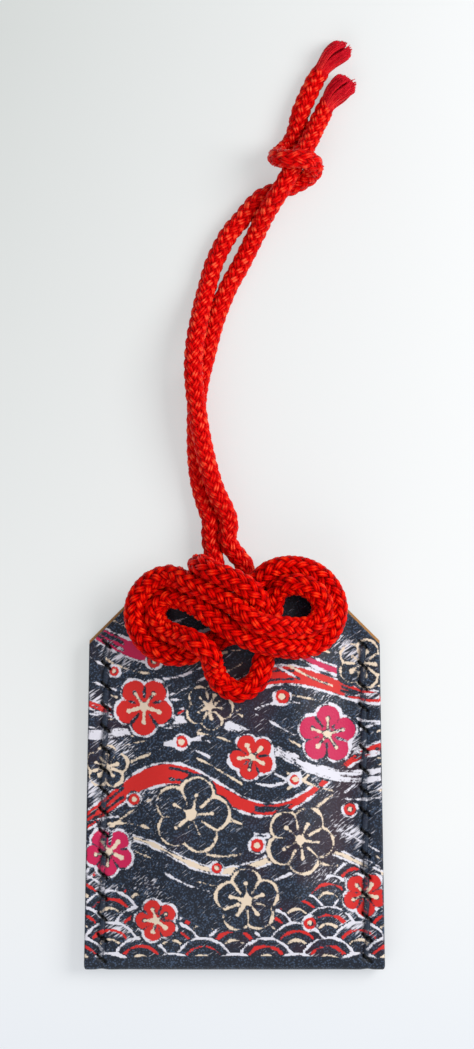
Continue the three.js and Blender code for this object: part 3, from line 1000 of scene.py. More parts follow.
@dataclass(frozen=True)
class Drop:
    """One round drop with a white outline and a cream eye, in millimetres; the eye counts in radii."""

    x: float
    y: float
    radius: float
    gap: float = 1.0
    eye_depth: float = 0.6

    def paint(self, canvas: Canvas) -> None:
        """Paints the drop as discs round one centre.

        Args:
            canvas: What it is painted on.
        """
        depth = self.radius - np.hypot(canvas.x - self.x, canvas.y - self.y)
        canvas.cover_outlined(depth, self.gap, Tint.WHITE, Tint.RED)
        canvas.cover(depth - self.eye_depth * self.radius, Tint.CREAM)


@dataclass(frozen=True)
class Blossom:
    """One plum blossom of round petals; a cream one is drawn in lines alone.

    Lines and the stamens' dots are in millimetres, the rest in radii, and the black gap in outlines.
    """

    x: float
    y: float
    radius: float
    turn: float
    tint: Tint
    gap: float = 2.4
    petals: int = 5
    petal_radius: float = 0.44
    petal_place: float = 0.58
    heart: float = 0.4
    eye: float = 0.15
    stamen_half_line: float = 0.22
    stamen_reach: float = 0.5
    stamen_dot: float = 0.4
    stamen_dot_place: float = 0.56
    cleft_half_line: float = 0.2
    cleft_start: float = 0.3
    cleft_end: float = 0.8

    def petal_frame(self, canvas: Canvas, shift: float = 0.0) -> tuple[Array, Array]:
        """Folds the plane onto one petal, whose axis becomes the first coordinate.

        Args:
            canvas: The points.
            shift: How far the axis is turned from the petal's, as a share of the angle between petals.

        Returns:
            The places along and across that axis.
        """
        sector = 2 * math.pi / self.petals
        across, up = canvas.x - self.x, canvas.y - self.y
        folded = np.mod(np.arctan2(up, across) - self.turn + shift * sector, sector) - sector / 2
        distance = np.hypot(across, up)
        return distance * np.cos(folded), distance * np.sin(folded)

    def paint(self, canvas: Canvas) -> None:
        """Paints the petals, the lines that part them, and the stamens.

        A petal is a circle on its axis, and a disc joins them. A stamen is a line and a dot on that axis.

        Args:
            canvas: What it is painted on.
        """
        size = self.radius
        along, across = self.petal_frame(canvas)
        from_eye = np.hypot(along, across)
        petal = self.petal_radius * size - np.hypot(along - self.petal_place * size, across)
        depth = np.maximum(petal, self.heart * size - from_eye)
        line = np.minimum(self.stamen_half_line - np.abs(across), self.stamen_reach * size - along)
        dot = self.stamen_dot - np.hypot(along - self.stamen_dot_place * size, across)
        stamens = np.maximum(np.maximum(line, dot), self.eye * size - from_eye)
        between = self.petal_frame(canvas, shift=0.5)[1]
        cleft = np.minimum(from_eye - self.cleft_start * size, self.cleft_end * size - from_eye)
        cleft = np.minimum(self.cleft_half_line - np.abs(between), cleft)
        edge, fill, parting = Tint.WHITE, self.tint, None
        if self.tint is Tint.CREAM:
            edge, fill, parting = Tint.CREAM, None, Tint.CREAM
        canvas.cover_outlined(depth, self.gap, edge, fill)
        canvas.cover(np.minimum(cleft, depth), parting)
        canvas.cover(np.minimum(stamens, depth), Tint.CREAM)


@dataclass
class PrintDesign:
    """A hand-painted print of plum blossom on flowing water over wave scales, in millimetres."""

    shape: PouchShape
    side_margin: float = 0.2
    bottom_margin: float = 2.6
    streams: tuple[Stream, ...] = (
        Stream(15.5, 3.4, 46.0, 0.4, 0.10, 1.2, Tint.RED),
        Stream(-3.0, 4.8, 44.0, 3.6, 0.12, 1.4, Tint.RED),
        Stream(6.5, 3.4, 52.0, 2.2, -0.16, 0.6, Tint.WHITE),
        Stream(-16.5, 2.8, 38.0, 5.2, -0.06, 0.4, Tint.CREAM),
        Stream(25.5, 3.0, 40.0, 1.2, -0.1, 1.2, Tint.PINK),
    )
    drops: tuple[Drop, ...] = (
        Drop(-10.5, 6.5, 1.3), Drop(9.5, 15.5, 1.5), Drop(12.0, -1.0, 1.1), Drop(-20.0, -5.0, 1.2),
        Drop(4.5, -14.0, 1.4), Drop(23.0, -7.0, 1.3), Drop(-3.5, -18.5, 1.1), Drop(-16.0, 22.5, 1.4),
        Drop(15.0, -29.5, 1.3), Drop(-24.0, 20.5, 1.0),
    )
    blossoms: tuple[Blossom, ...] = (
        Blossom(-18.0, 13.5, 5.7, 0.3, Tint.RED),
        Blossom(18.5, 8.0, 5.7, 0.9, Tint.PINK),
        Blossom(13.0, -13.0, 6.4, 0.5, Tint.CREAM),
        Blossom(-8.5, -8.0, 7.2, 0.7, Tint.CREAM),
        Blossom(3.5, 3.5, 4.5, 0.1, Tint.RED),
        Blossom(-25.0, -15.5, 4.8, 0.2, Tint.PINK),
        Blossom(2.5, -25.0, 6.0, 1.0, Tint.CREAM),
        Blossom(26.0, -24.0, 4.4, 0.4, Tint.RED),
        Blossom(-25.5, 1.5, 4.0, 0.9, Tint.CREAM),
        Blossom(25.5, 22.0, 4.6, 0.6, Tint.CREAM),
        Blossom(-5.0, 13.5, 4.4, 0.5, Tint.CREAM),
        Blossom(-15.5, -29.0, 4.2, 0.0, Tint.RED),
    )
    swashes: tuple[tuple[float, float, float], ...] = ((0.33, 0.52, 0.0), (0.21, -0.17, 1.0))
    mist_start: float = 0.04
    mist_gain: float = 0.42
    mist_middle: float = 0.12
    mist_from: float = 8.0
    mist_to: float = 26.0

    def fields(self, x: Array, y: Array) -> Values:
        """Paints the design at points of the front.

        Args:
            x: Across the pouch.
            y: Up the pouch.

        Returns:
            The depth inside each colour's areas, and the share of dry white brushwork.
        """
        canvas = Canvas(x, y, {key: np.full(x.shape, bare) for key, bare in UNPRINTED.items()})
        for motif in (WaveScales(self.shape.bottom), *self.streams, *self.drops, *self.blossoms):
            motif.paint(canvas)
        return canvas.inks | {Tint.MIST.value: self.mist(x, y), Tint.PRINT.value: self.printed(x, y)}

    def mist(self, x: Array, y: Array) -> Array:
        """Gives the share of dry white brushwork: slanting swashes, strongest towards the sides.

        Args:
            x: Across the pouch.
            y: Up the pouch.

        Returns:
            Shares. A swash is the product of two waves that cross each other.
        """
        first, second = (np.sin(across * x + up * y + phase) for across, up, phase in self.swashes)
        sides = smooth_step(np.abs(x), self.mist_from, self.mist_to)
        strength = np.clip(self.mist_start + self.mist_gain * (first * second), 0, 1)
        return strength * (self.mist_middle + (1 - self.mist_middle) * sides)

    def printed(self, x: Array, y: Array) -> Array:
        """Gives the depth inside the printed area, which stops short of the sides and of the fold."""
        from_side = self.shape.half_width(y, 0.0) - np.abs(x) - self.side_margin
        return np.minimum(from_side, y - self.shape.bottom - self.bottom_margin)


@dataclass(frozen=True)
class PrintedLeather:
    """Vegetable-tanned cowhide, dyed black and screen-printed.

    It has a fine pebbled grain with a soft gloss and a painted sheen on the raised pebbles, and a tan flesh
    side. Pebbles and brush strokes are drawn a little coarser than the real ones, so that they show.
    """

    black: str = "#0a1220"
    black_worn: str = "#131d2d"
    # painted sheen on the raised pebbles and on the thread's ply ridges
    painted_sheen: str = "#4b607d"
    # painted shade in the stitch slits
    hole: str = "#030304"
    flesh: str = "#c4935a"
    cut_edge: str = "#1d1713"
    red: str = "#d2201c"
    pink: str = "#c81450"
    white: str = "#dfdde6"
    cream: str = "#e6d2ba"
    haze: str = "#2c1426"
    pebble_mm: float = 0.42
    pebble_softness: float = 0.6
    crease_mm: float = 1.6
    crease_detail: float = 5.0
    crease_gain: float = 0.6
    crease_start: float = 0.35
    wear_mm: float = 9.0
    wear_detail: float = 4.0
    haze_mm: float = 14.0
    haze_detail: float = 2.0
    brush_mm: float = 0.32
    brush_detail: float = 4.0
    stroke_mm: float = 2.4
    stroke_degrees: float = 35.0
    ragged_mm: float = 0.55
    ragged_detail: float = 3.0
    waver_mm: float = 1.1
    waver_length_mm: float = 2.2
    waver_detail: float = 2.0
    ply_turns: float = 3.0
    ply_slant: float = 0.9
    pebble_sheen: float = 0.6
    thread_sheen: float = 0.25
    sheen_range: tuple[float, float] = (0.34, 0.54)
    haze_range: tuple[float, float] = (0.55, 0.75)
    dry_range: tuple[float, float] = (0.64, 0.8)
    edge_range: tuple[float, float] = (0.02, 0.2)
    inside_range: tuple[float, float] = (0.55, 0.95)
    slit_shade_range: tuple[float, float] = (0.42, 0.2)
    print_softness: float = 0.15
    ink_softness: float = 0.08
    mist_weight: float = 0.5
    gloss: float = 0.35
    roughness_range: tuple[float, float] = (0.58, 0.40)
    relief: float = 0.5
    relief_mm: float = 0.12

    def material(self, name: str, stitched: bool = False) -> bpy.types.Material:
        """Builds the leather, or the printed thread on it.

        Args:
            name: The material's name.
            stitched: Whether it is the thread, which has twist lines in place of grain.

        Returns:
            The material. It reads the print's vertex fields, and flesh and slit on the leather.
        """
        material, add, shader = new_material(name)
        vector = add("TexCoord", output="Object")
        grain = self.twist(add) if stitched else self.grain(add, vector)
        worn = {"Vector": vector, "Scale": per_mm(self.wear_mm), "Detail": self.wear_detail}
        wear = add("TexNoise", worn)
        blacks = {SHARE: wear, UNDER: linear(self.black), OVER: linear(self.black_worn)}
        black = add("Mix", blacks, **COLOUR_MIX)
        # Painted sheen: the raised pebbles, or the thread's ply ridges, are painted lighter.
        low, high = self.sheen_range
        sheen = self.thread_sheen if stitched else self.pebble_sheen
        sheen_share = add("MapRange", {VALUE: grain, LOW: low, HIGH: high, TO_HIGH: sheen})
        lit = {SHARE: sheen_share, UNDER: black, OVER: linear(self.painted_sheen)}
        black = add("Mix", lit, **COLOUR_MIX)
        colour = self.print_over(add, vector, black)
        # Painted shade: the stitch slits, and the thread where it dips into them, are painted near black.
        layers = [("slit", self.slit_shade_range, self.hole)]
        if not stitched:
            cut = [("flesh", self.edge_range, self.cut_edge), ("flesh", self.inside_range, self.flesh)]
            layers = cut + layers
        for key, (low, high), tint in layers:
            field = add("Attribute", output="Fac", attribute_name=key)
            share = add("MapRange", {VALUE: field, LOW: low, HIGH: high})
            colour = add("Mix", {SHARE: share, UNDER: colour, OVER: linear(tint)}, **COLOUR_MIX)
        rough, smooth = self.roughness_range
        relief = {"Height": grain, "Strength": self.relief, "Distance": self.relief_mm * MM}
        wire(shader, {
            "Base Color": colour,
            "Specular IOR Level": self.gloss,
            "Roughness": add("MapRange", {VALUE: grain, TO_LOW: rough, TO_HIGH: smooth}),
            "Normal": add("Bump", relief),
        })
        return material

    def grain(self, add: AddNode, vector: Socket) -> Socket:
        """Gives the pebbles' height: cells that swell to their middles, deeper here and there.

        Args:
            add: Adds a node to the material.
            vector: Object coordinates.

        Returns:
            The height.
        """
        pebbles = {"Vector": vector, "Scale": per_mm(self.pebble_mm), "Smoothness": self.pebble_softness}
        cells = add("TexVoronoi", pebbles, feature="SMOOTH_F1")
        creased = {"Vector": vector, "Scale": per_mm(self.crease_mm), "Detail": self.crease_detail}
        creases = add("TexNoise", creased)
        raised = add("Math", {0: 1.0, 1: cells}, operation="SUBTRACT")
        deepened = {0: creases, 1: self.crease_gain, 2: self.crease_start}
        depth = add("Math", deepened, operation="MULTIPLY_ADD")
        return add("Math", {0: raised, 1: depth}, operation="MULTIPLY")

    def twist(self, add: AddNode) -> Socket:
        """Gives the thread's plies: ridges that turn round it as they run along it.

        Args:
            add: Adds a node to the material.

        Returns:
            The ridges' height, a sine of the place round the thread and the place along it.
        """
        along, around = (
            add("Attribute", output="Fac", attribute_name=key) for key in ("along", "around")
        )
        turned = add("Math", {0: along, 1: self.ply_slant, 2: around}, operation="MULTIPLY_ADD")
        angle = {0: turned, 1: 2 * math.pi * self.ply_turns}
        phase = add("Math", angle, operation="MULTIPLY")
        wave = add("Math", {0: phase}, operation="SINE")
        return add("MapRange", {VALUE: wave, LOW: -1.0, HIGH: 1.0})

    def ink_mask(self, add: AddNode, tint: Tint, offset: Socket, softness: float) -> Socket:
        """Gives where an ink lies: its depth, made ragged by an offset and cut off softly at zero.

        Args:
            add: Adds a node to the material.
            tint: The ink.
            offset: What the edge wanders by, in millimetres.
            softness: Half the width of the soft edge.

        Returns:
            The ink's share.
        """
        depth = add("Attribute", output="Fac", attribute_name=tint.value)
        ragged = add("Math", {0: depth, 1: offset}, operation="ADD")
        return add("MapRange", {VALUE: ragged, LOW: -softness, HIGH: softness})

    def print_over(self, add: AddNode, vector: Socket, ground: Socket) -> Socket:
        """Lays a haze, dry white strokes and the inks over the black.

        Args:
            add: Adds a node to the material.
            vector: Object coordinates.
            ground: The black's colour.

        Returns:
            The printed colour.
        """
        offset = 0.0
        edges = (
            (self.brush_mm, self.ragged_detail, self.ragged_mm),
            (self.waver_length_mm, self.waver_detail, self.waver_mm),
        )
        for size, detail, swing in edges:
            noise = add("TexNoise", {"Vector": vector, "Scale": per_mm(size), "Detail": detail})
            centred = add("Math", {0: noise, 1: swing, 2: -swing / 2}, operation="MULTIPLY_ADD")
            offset = add("Math", {0: centred, 1: offset}, operation="ADD")
        clouds = {"Vector": vector, "Scale": per_mm(self.haze_mm), "Detail": self.haze_detail}
        haze = add("TexNoise", clouds)
        turned = {
            "Vector": vector,
            "Rotation": (0.0, 0.0, math.radians(self.stroke_degrees)),
            "Scale": (self.stroke_mm / self.brush_mm, 1.0, 1.0),
        }
        slanted = add("Mapping", turned, vector_type="TEXTURE")
        bristles = {"Vector": slanted, "Scale": per_mm(self.brush_mm), "Detail": self.brush_detail}
        strokes = add("TexNoise", bristles)
        mist = add("Attribute", output="Fac", attribute_name=Tint.MIST.value)
        dry = add("Math", {0: mist, 1: self.mist_weight, 2: strokes}, operation="MULTIPLY_ADD")
        colour = ground
        washes = ((haze, self.haze_range, self.haze), (dry, self.dry_range, self.white))
        for noise, (low, high), ink in washes:
            share = add("MapRange", {VALUE: noise, LOW: low, HIGH: high})
            colour = add("Mix", {SHARE: share, UNDER: colour, OVER: linear(ink)}, **COLOUR_MIX)
        inks = {Tint.RED: self.red, Tint.PINK: self.pink, Tint.WHITE: self.white, Tint.CREAM: self.cream}
        for tint, ink in inks.items():
            mask = self.ink_mask(add, tint, offset, self.ink_softness)
            colour = add("Mix", {SHARE: mask, UNDER: colour, OVER: linear(ink)}, **COLOUR_MIX)
        area = self.ink_mask(add, Tint.PRINT, offset, self.print_softness)
        return add("Mix", {SHARE: area, UNDER: ground, OVER: colour}, **COLOUR_MIX)


@dataclass
class LeatherPouch:
    """The pouch: one leather sheet folded at the bottom, printed in front, tan inside, in millimetres."""

    shape: PouchShape
    design: PrintDesign
    finish: PrintedLeather
    columns: int = 193
    crowding: float = 0.25
    chamfer_rows: int = 42
    side_rows: int = 198
    fold_rows: int = 24
    back_rows: int = 66
    back_chamfer_rows: int = 12
    stride: int = 6
    edge_radius: float = 0.5
    groove_depth: float = 0.16
    groove_half_width: float = 0.9
    groove_fade: float = 1.5
    slit_depth: float = 0.55
    slit_half_width: float = 0.36
    sharp_degrees: float = 50.0

    def across(self) -> Array:
        """Gives the columns' places from -1 to 1, closer together towards the sides."""
        t = np.linspace(-1, 1, self.columns)
        return t * (1 + self.crowding * (1 - t * t))

    def faces(self) -> tuple[Array, Array]:
        """Works out the sheet's outer and inner faces.

        A column runs down the front, half round the fold and up the back. On the panels a point's height
        is the panel's height there; round the fold it is a half circle as wide as the pouch is thick.

        Returns:
            The outer and the inner points, of shape (rows, columns, 3).
        """
        shape, u = self.shape, self.across()[None]
        bottom = np.array(shape.bottom)
        fold_x = u * shape.side_half_width(bottom)
        low = shape.back_height(fold_x, bottom)
        radius = (shape.front_height(fold_x, bottom) - low) / 2
        start = shape.bottom + radius
        lip = shape.chamfer_lip
        back_shoulder = shape.shoulder + lip * math.sqrt(2)
        share = np.arange(self.side_rows)[:, None] / self.side_rows
        chamfer = np.linspace(shape.mouth, shape.shoulder, self.chamfer_rows, endpoint=False)[:, None]
        front_y = np.concatenate([chamfer + 0 * u, shape.shoulder + (start - shape.shoulder) * share])
        front_x = u * shape.half_width(front_y, 0.0)
        front_z = shape.front_height(front_x, front_y)
        angle = np.linspace(0, math.pi, self.fold_rows + 1)[:, None]
        rise = np.linspace(0, 1, self.back_rows + 1)[1:, None]
        top_y = np.linspace(back_shoulder, shape.mouth + lip, self.back_chamfer_rows + 1)[1:, None]
        back_y = np.concatenate([start + (back_shoulder - start) * rise, top_y + 0 * u])
        back_x = u * shape.half_width(back_y, lip)
        back_z = shape.back_height(back_x, back_y)
        layers = []
        for depth in (0.0, shape.thickness):
            bend = radius - depth
            fold = [fold_x + 0 * angle, start - bend * np.sin(angle), low + radius + bend * np.cos(angle)]
            front = np.stack([front_x, front_y, front_z - depth], -1)
            back = np.stack([back_x, back_y, back_z + depth], -1)
            layers.append(np.concatenate([front, np.stack(fold, -1), back]))
        return layers[0], layers[1]

    def dents(self, outer: Array) -> Array:
        """Gives how far the outer face sinks: rounded cut edges, a sewn groove and the slits.

        An edge is a quarter circle; the groove and the slits are bell curves of the distance from them.

        Args:
            outer: The outer face's points.

        Returns:
            Depths, of shape (rows, columns).
        """
        shape, radius = self.shape, self.edge_radius
        x, y = outer[..., 0], outer[..., 1]
        from_side = (1 - np.abs(self.across()))[None] * shape.half_width(y, 0.0)
        front = np.arange(len(outer))[:, None] < self.chamfer_rows + self.side_rows
        from_mouth = np.where(front, shape.mouth - y, shape.mouth + shape.chamfer_lip - y)
        inward = np.minimum(np.minimum(from_side, np.abs(from_mouth)), radius)
        sunk = radius - np.sqrt(np.maximum(radius**2 - (radius - inward) ** 2, 0))
        seam = np.abs(shape.side_half_width(y) - shape.seam_inset - np.abs(x))
        sewn = smooth_step(shape.shoulder + self.groove_fade - y, 0.0, self.groove_fade)
        sunk = sunk + self.groove_depth * np.exp(-((seam / self.groove_half_width) ** 2)) * sewn
        slit = shape.slit_distance(x, y) / self.slit_half_width
        return sunk + self.slit_depth * np.exp(-(slit**2))

    def build(self) -> None:
        """Makes the pouch and dresses it."""
        outer, inner = self.faces()
        through = unit(outer - inner)
        dressed = outer - through * self.dents(outer)[..., None]
        inner = inner[:: self.stride, :: self.stride]
        rows, columns = outer.shape[:2]
        few_rows, few_columns = inner.shape[:2]
        points = np.concatenate([dressed.reshape(-1, 3), inner.reshape(-1, 3)])
        shift = rows * columns
        inside = grid_quads(few_rows, few_columns)[:, ::-1] + shift
        rim = zip_edges(self.rim(rows, columns), self.rim(few_rows, few_columns) + shift, self.stride)
        quads = np.concatenate([grid_quads(rows, columns), inside])
        values = self.vertex_values(outer, len(points) - shift)
        material = self.finish.material("printed black cowhide")
        piece = make_object("printed_pouch", points, quads, rim, material, values, self.sharp_degrees)
        place(piece, Body.POUCH.value, "leather", "leather_pouch")
        log.info("pouch of %d faces", len(piece.data.polygons))

    def rim(self, rows: int, columns: int) -> Array:
        """Numbers a grid's rim once round: first row, last column, last row and first column."""
        grid = np.arange(rows * columns).reshape(rows, columns)
        return np.concatenate([grid[0, :-1], grid[:-1, -1], grid[-1, :0:-1], grid[:0:-1, 0]])

    def vertex_values(self, outer: Array, inner_count: int) -> Values:
        """Gives the vertex values that the finish reads.

        Args:
            outer: The outer face's points.
            inner_count: Vertices on the inner face.

        Returns:
            The print's fields, black on the fold and the back, and flesh, which is 1 inside.
        """
        front = self.chamfer_rows + self.side_rows
        inks = self.design.fields(outer[:front, :, 0], outer[:front, :, 1])
        rest = (len(outer) - front) * outer.shape[1] + inner_count
        bare = {key: np.full(rest, blank) for key, blank in UNPRINTED.items()}
        values = {key: np.concatenate([ink.ravel(), bare[key]]) for key, ink in inks.items()}
        values["flesh"] = np.concatenate([np.zeros(outer.shape[0] * outer.shape[1]), np.ones(inner_count)])
        slit = self.shape.slit_distance(outer[..., 0], outer[..., 1])
        values["slit"] = np.concatenate([slit.ravel(), np.full(inner_count, FAR_MM)])
        return values


@dataclass
class SeamThreads:
    """The two saddle-stitched seams: thick waxed stitches over the front and under the back.

    Lengths are in millimetres; proud counts in thicknesses, and end_width in widths.
    """

    shape: PouchShape
    design: PrintDesign
    finish: PrintedLeather
    width: float = 1.2
    thickness: float = 0.85
    slit_shift: float = 0.3
    sink: float = 0.75
    proud: float = 0.25
    end_width: float = 0.72
    swell_power: float = 0.6
    arch_power: float = 4.0
    printed_depth: float = -0.1
    front_layer: float = 1.0
    stations: int = 17
    sides: int = 12

    def build(self) -> None:
        """Makes both seams."""
        material = self.finish.material("black waxed linen thread", stitched=True)
        for word, side in (("left", -1), ("right", 1)):
            self.build_seam(word, side, material)

    def build_seam(self, word: str, side: int, material: bpy.types.Material) -> None:
        """Makes one seam as one piece.

        A stitch runs straight from slit to slit, and its height is a flat arch that dips into the slits
        at both ends.

        Args:
            word: left or right.
            side: -1 or 1.
            material: The thread's finish.
        """
        holes = self.shape.stitch_holes(side)
        t = np.linspace(0, 1, self.stations)
        shift = self.shape.slit_way * self.slit_shift
        share = t[None, :, None]
        line = (holes[:-1] - shift)[:, None] * (1 - share) + (holes[1:] + shift)[:, None] * share
        arch = np.sqrt(np.clip(1 - np.abs(2 * t - 1) ** self.arch_power, 0, 1))
        climb = (self.sink + self.proud * self.thickness) * arch
        front_z = self.shape.seam_face - self.sink + climb
        back_z = self.shape.seam_lift + self.sink - climb
        heights = np.repeat(np.stack([front_z, back_z]), len(line), axis=0)
        centres = np.concatenate([np.concatenate([line, line]), heights[..., None]], -1)
        across, out = level_frames(centres)
        swell = self.end_width + (1 - self.end_width) * np.sin(math.pi * t) ** self.swell_power
        section = ellipse(self.sides, self.width, self.thickness)
        points, quads, ends = tube_bundle(centres, across * swell[None, :, None], out, section)
        values = self.vertex_values(points, len(centres))
        piece = make_object(f"seam_stitches_{word}", points, quads, ends, material, values)
        place(piece, Body.POUCH.value, "thread", f"seam_thread_{word}")
        log.info("seam %s of %d stitches", word, len(centres))

    def vertex_values(self, points: Array, lines: int) -> Values:
        """Gives the print's fields on the front stitches, and the places along and round each stitch.

        Args:
            points: The stitches' vertices.
            lines: Stitches, front and back.

        Returns:
            The vertex values that the finish reads.
        """
        inks = self.design.fields(points[:, 0], points[:, 1])
        behind = points[:, 2] < self.shape.seam_face - self.front_layer
        values = {key: np.where(behind, UNPRINTED[key], ink) for key, ink in inks.items()}
        values[Tint.PRINT.value] = np.minimum(values[Tint.PRINT.value], self.printed_depth)
        stitch = self.shape.height / self.shape.stitches
        lay = {
            "along": np.linspace(0, stitch, self.stations)[None, :, None],
            "around": (np.arange(self.sides) / self.sides)[None, None],
        }
        slit = {"slit": self.shape.slit_distance(points[:, 0], points[:, 1])}
        return values | per_vertex(lay, (lines, self.stations, self.sides)) | slit


@dataclass(frozen=True)
class HandmadePaper:
    """Unbleached mulberry paper, couched by hand: matt, with long fibres lying every way."""

    pulp: str = "#e6dcc4"
    fibre: str = "#c7b48c"
    fibre_mm: float = 2.4
    fibre_detail: float = 6.0
    fibre_bend: float = 2.5
    fibre_range: tuple[float, float] = (0.52, 0.66)
    roughness: float = 0.88
    relief: float = 0.4
    relief_mm: float = 0.05

    def material(self) -> bpy.types.Material:
        """Builds the paper from stretched noise, which shows as fibres in the sheet.

        Returns:
            The material.
        """
        material, add, shader = new_material("unbleached mulberry paper")
        vector = add("TexCoord", output="Object")
        couched = {
            "Vector": vector,
            "Scale": per_mm(self.fibre_mm),
            "Detail": self.fibre_detail,
            "Distortion": self.fibre_bend,
        }
        strands = add("TexNoise", couched)
        low, high = self.fibre_range
        share = add("MapRange", {VALUE: strands, LOW: low, HIGH: high})
        colours = {SHARE: share, UNDER: linear(self.pulp), OVER: linear(self.fibre)}
        relief = {"Height": strands, "Strength": self.relief, "Distance": self.relief_mm * MM}
        wire(shader, {
            "Base Color": add("Mix", colours, **COLOUR_MIX),
            "Roughness": self.roughness,
            "Normal": add("Bump", relief),
        })
        return material


@dataclass(frozen=True)
class PlanedCypress:
    """Planed cypress, unvarnished: pale earlywood with narrow darker rings along the tablet."""

    earlywood: str = "#dcb884"
    latewood: str = "#b98a52"
    ring_mm: float = 1.6
    ring_detail: float = 3.0
    ring_bend: float = 3.0
    wave_turn: float = 6.28
    stretch: float = 0.06
    roughness: float = 0.62
    relief: float = 0.25
    relief_mm: float = 0.05

    def material(self) -> bpy.types.Material:
        """Builds the wood from bands across the tablet, bent a little by noise.

        Returns:
            The material.
        """
        material, add, shader = new_material("planed cypress")
        vector = add("TexCoord", output="Object")
        drawn_out = add("Mapping", {"Vector": vector, "Scale": (1.0, self.stretch, 1.0)})
        scale = per_mm(self.ring_mm) / self.wave_turn
        sawn = {
            "Vector": drawn_out,
            "Scale": scale,
            "Detail": self.ring_detail,
            "Distortion": self.ring_bend,
        }
        rings = add("TexWave", sawn, output=1, bands_direction="X")
        colours = {SHARE: rings, UNDER: linear(self.earlywood), OVER: linear(self.latewood)}
        relief = {"Height": rings, "Strength": self.relief, "Distance": self.relief_mm * MM}
        wire(shader, {
            "Base Color": add("Mix", colours, **COLOUR_MIX),
            "Roughness": self.roughness,
            "Normal": add("Bump", relief),
        })
        return material


@dataclass
class Contents:
    """The tablet and its wrapper inside the pocket, whose solids already have the right shape."""

    paper: HandmadePaper = HandmadePaper()
    wood: PlanedCypress = PlanedCypress()

    def build(self) -> None:
        """Gives both solids their finish."""
        for node, finish in (("paper_wrapper", self.paper), ("inner_tablet", self.wood)):
            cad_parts[node].material_slots[0].material = finish.material()
            log.info("%s keeps its solid", node)


# Cord routes in millimetres, as the solids have them.
# y is measured from the mouth; z from a cord lying on the front panel, or on the ground for the strap.
KNOT_ROUTE = [
    [-5.0, -1.9, 0.0], [-6.3, 0.5, -0.2], [-6.9, 2.6, 1.6], [-6.1, 2.8, 5.0],
    [-3.2, 1.8, 7.0], [0.4, 0.6, 7.4], [3.4, -1.4, 7.1], [5.1, -4.0, 5.5],
    [4.7, -6.4, 3.4], [2.7, -8.9, 1.6], [-0.8, -11.0, 0.2], [-5.0, -13.1, -0.1],
    [-9.0, -15.2, -0.1], [-13.6, -15.6, -0.6], [-17.8, -13.2, -1.4], [-19.9, -8.6, -1.8],
    [-19.3, -3.6, -1.4], [-16.6, -0.2, -0.4], [-12.8, 0.9, 1.0], [-9.4, -0.7, 3.4],
    [-6.2, -2.2, 4.5], [-2.8, -3.8, 5.1], [0.2, -5.6, 6.0], [2.7, -7.9, 7.0],
    [5.2, -9.3, 7.0], [8.8, -9.9, 6.0], [12.6, -10.0, 3.8], [15.8, -8.9, 2.6],
    [17.4, -5.8, 2.2], [15.8, -2.5, 2.2], [12.2, -1.2, 2.2], [8.8, -2.6, 1.0],
    [7.6, -6.6, 0.2], [7.0, -11.5, 0.0], [5.7, -17.0, 0.0], [4.4, -21.2, 0.0],
    [0.9, -23.3, 0.0], [-2.5, -21.4, 0.0], [-3.6, -18.6, 1.3], [-4.5, -15.6, 4.0],
    [-7.6, -12.8, 4.0], [-11.6, -11.2, 1.2], [-14.8, -9.4, -0.4], [-15.6, -6.4, -0.8],
    [-13.4, -4.1, -0.3], [-10.2, -4.6, 1.0], [-7.4, -6.0, 3.0], [-5.2, -7.8, 4.0],
    [-2.8, -9.6, 4.5], [0.2, -11.3, 4.8], [4.5, -12.8, 4.6], [9.4, -13.8, 3.6],
    [13.4, -14.4, 1.0], [17.2, -13.4, -0.6], [19.9, -10.2, -1.4], [20.6, -5.8, -1.6],
    [18.5, -1.2, -1.2], [14.3, 1.7, -0.5], [9.6, 2.2, -0.2], [5.7, 0.8, 0.0],
    [3.2, -1.8, 0.0],
]
LEFT_STRAP_ROUTE = [
    [-5.9, 14.0, 0.2], [-6.9, 17.4, 0.0], [-7.5, 21.0, 0.0], [-7.8, 25.0, 0.0],
    [-7.8, 29.0, 0.0], [-7.7, 33.0, 0.0], [-7.3, 37.0, 0.0], [-6.6, 41.0, 0.0],
    [-5.6, 45.0, 0.0], [-4.6, 49.0, 0.0], [-3.2, 53.0, 0.0], [-1.5, 57.0, 0.0],
    [0.3, 61.0, 0.0], [2.4, 65.2, 0.0], [4.4, 69.2, 0.6], [6.4, 72.8, 2.8],
    [8.3, 75.8, 4.3], [10.0, 78.6, 4.6], [11.5, 81.4, 4.5], [13.1, 84.2, 4.2],
    [15.0, 87.0, 3.0], [16.5, 90.4, 1.4], [17.9, 93.6, 0.4], [19.4, 96.6, 0.0],
    [21.2, 98.6, 0.0], [22.9, 99.8, 0.0],
]
RIGHT_STRAP_ROUTE = [
    [-1.6, 14.0, 2.8], [-3.3, 17.4, 3.1], [-4.6, 21.0, 3.4], [-5.7, 25.0, 3.9],
    [-6.6, 29.0, 4.3], [-7.3, 33.0, 4.4], [-7.9, 37.0, 4.4], [-8.2, 41.0, 4.2],
    [-8.1, 45.0, 3.7], [-7.6, 49.0, 3.2], [-7.0, 53.0, 2.4], [-6.1, 57.0, 0.9],
    [-4.9, 61.0, 0.0], [-3.2, 65.2, 0.0], [-0.9, 69.4, 0.0], [2.0, 73.4, 0.0],
    [5.2, 76.4, 0.0], [9.2, 77.8, 0.0], [13.0, 78.9, 0.5], [16.1, 80.4, 2.8],
    [16.6, 82.2, 6.2], [13.8, 83.3, 8.6], [10.6, 83.5, 8.3], [7.9, 84.2, 5.4],
    [7.8, 85.1, 2.0], [9.4, 86.6, 0.1], [11.1, 88.6, 0.0], [12.4, 91.2, 0.0],
    [13.5, 94.2, 0.0], [15.1, 97.8, 0.0], [17.0, 101.4, 0.0], [19.4, 104.6, 0.0],
    [22.0, 106.6, 0.0],
]


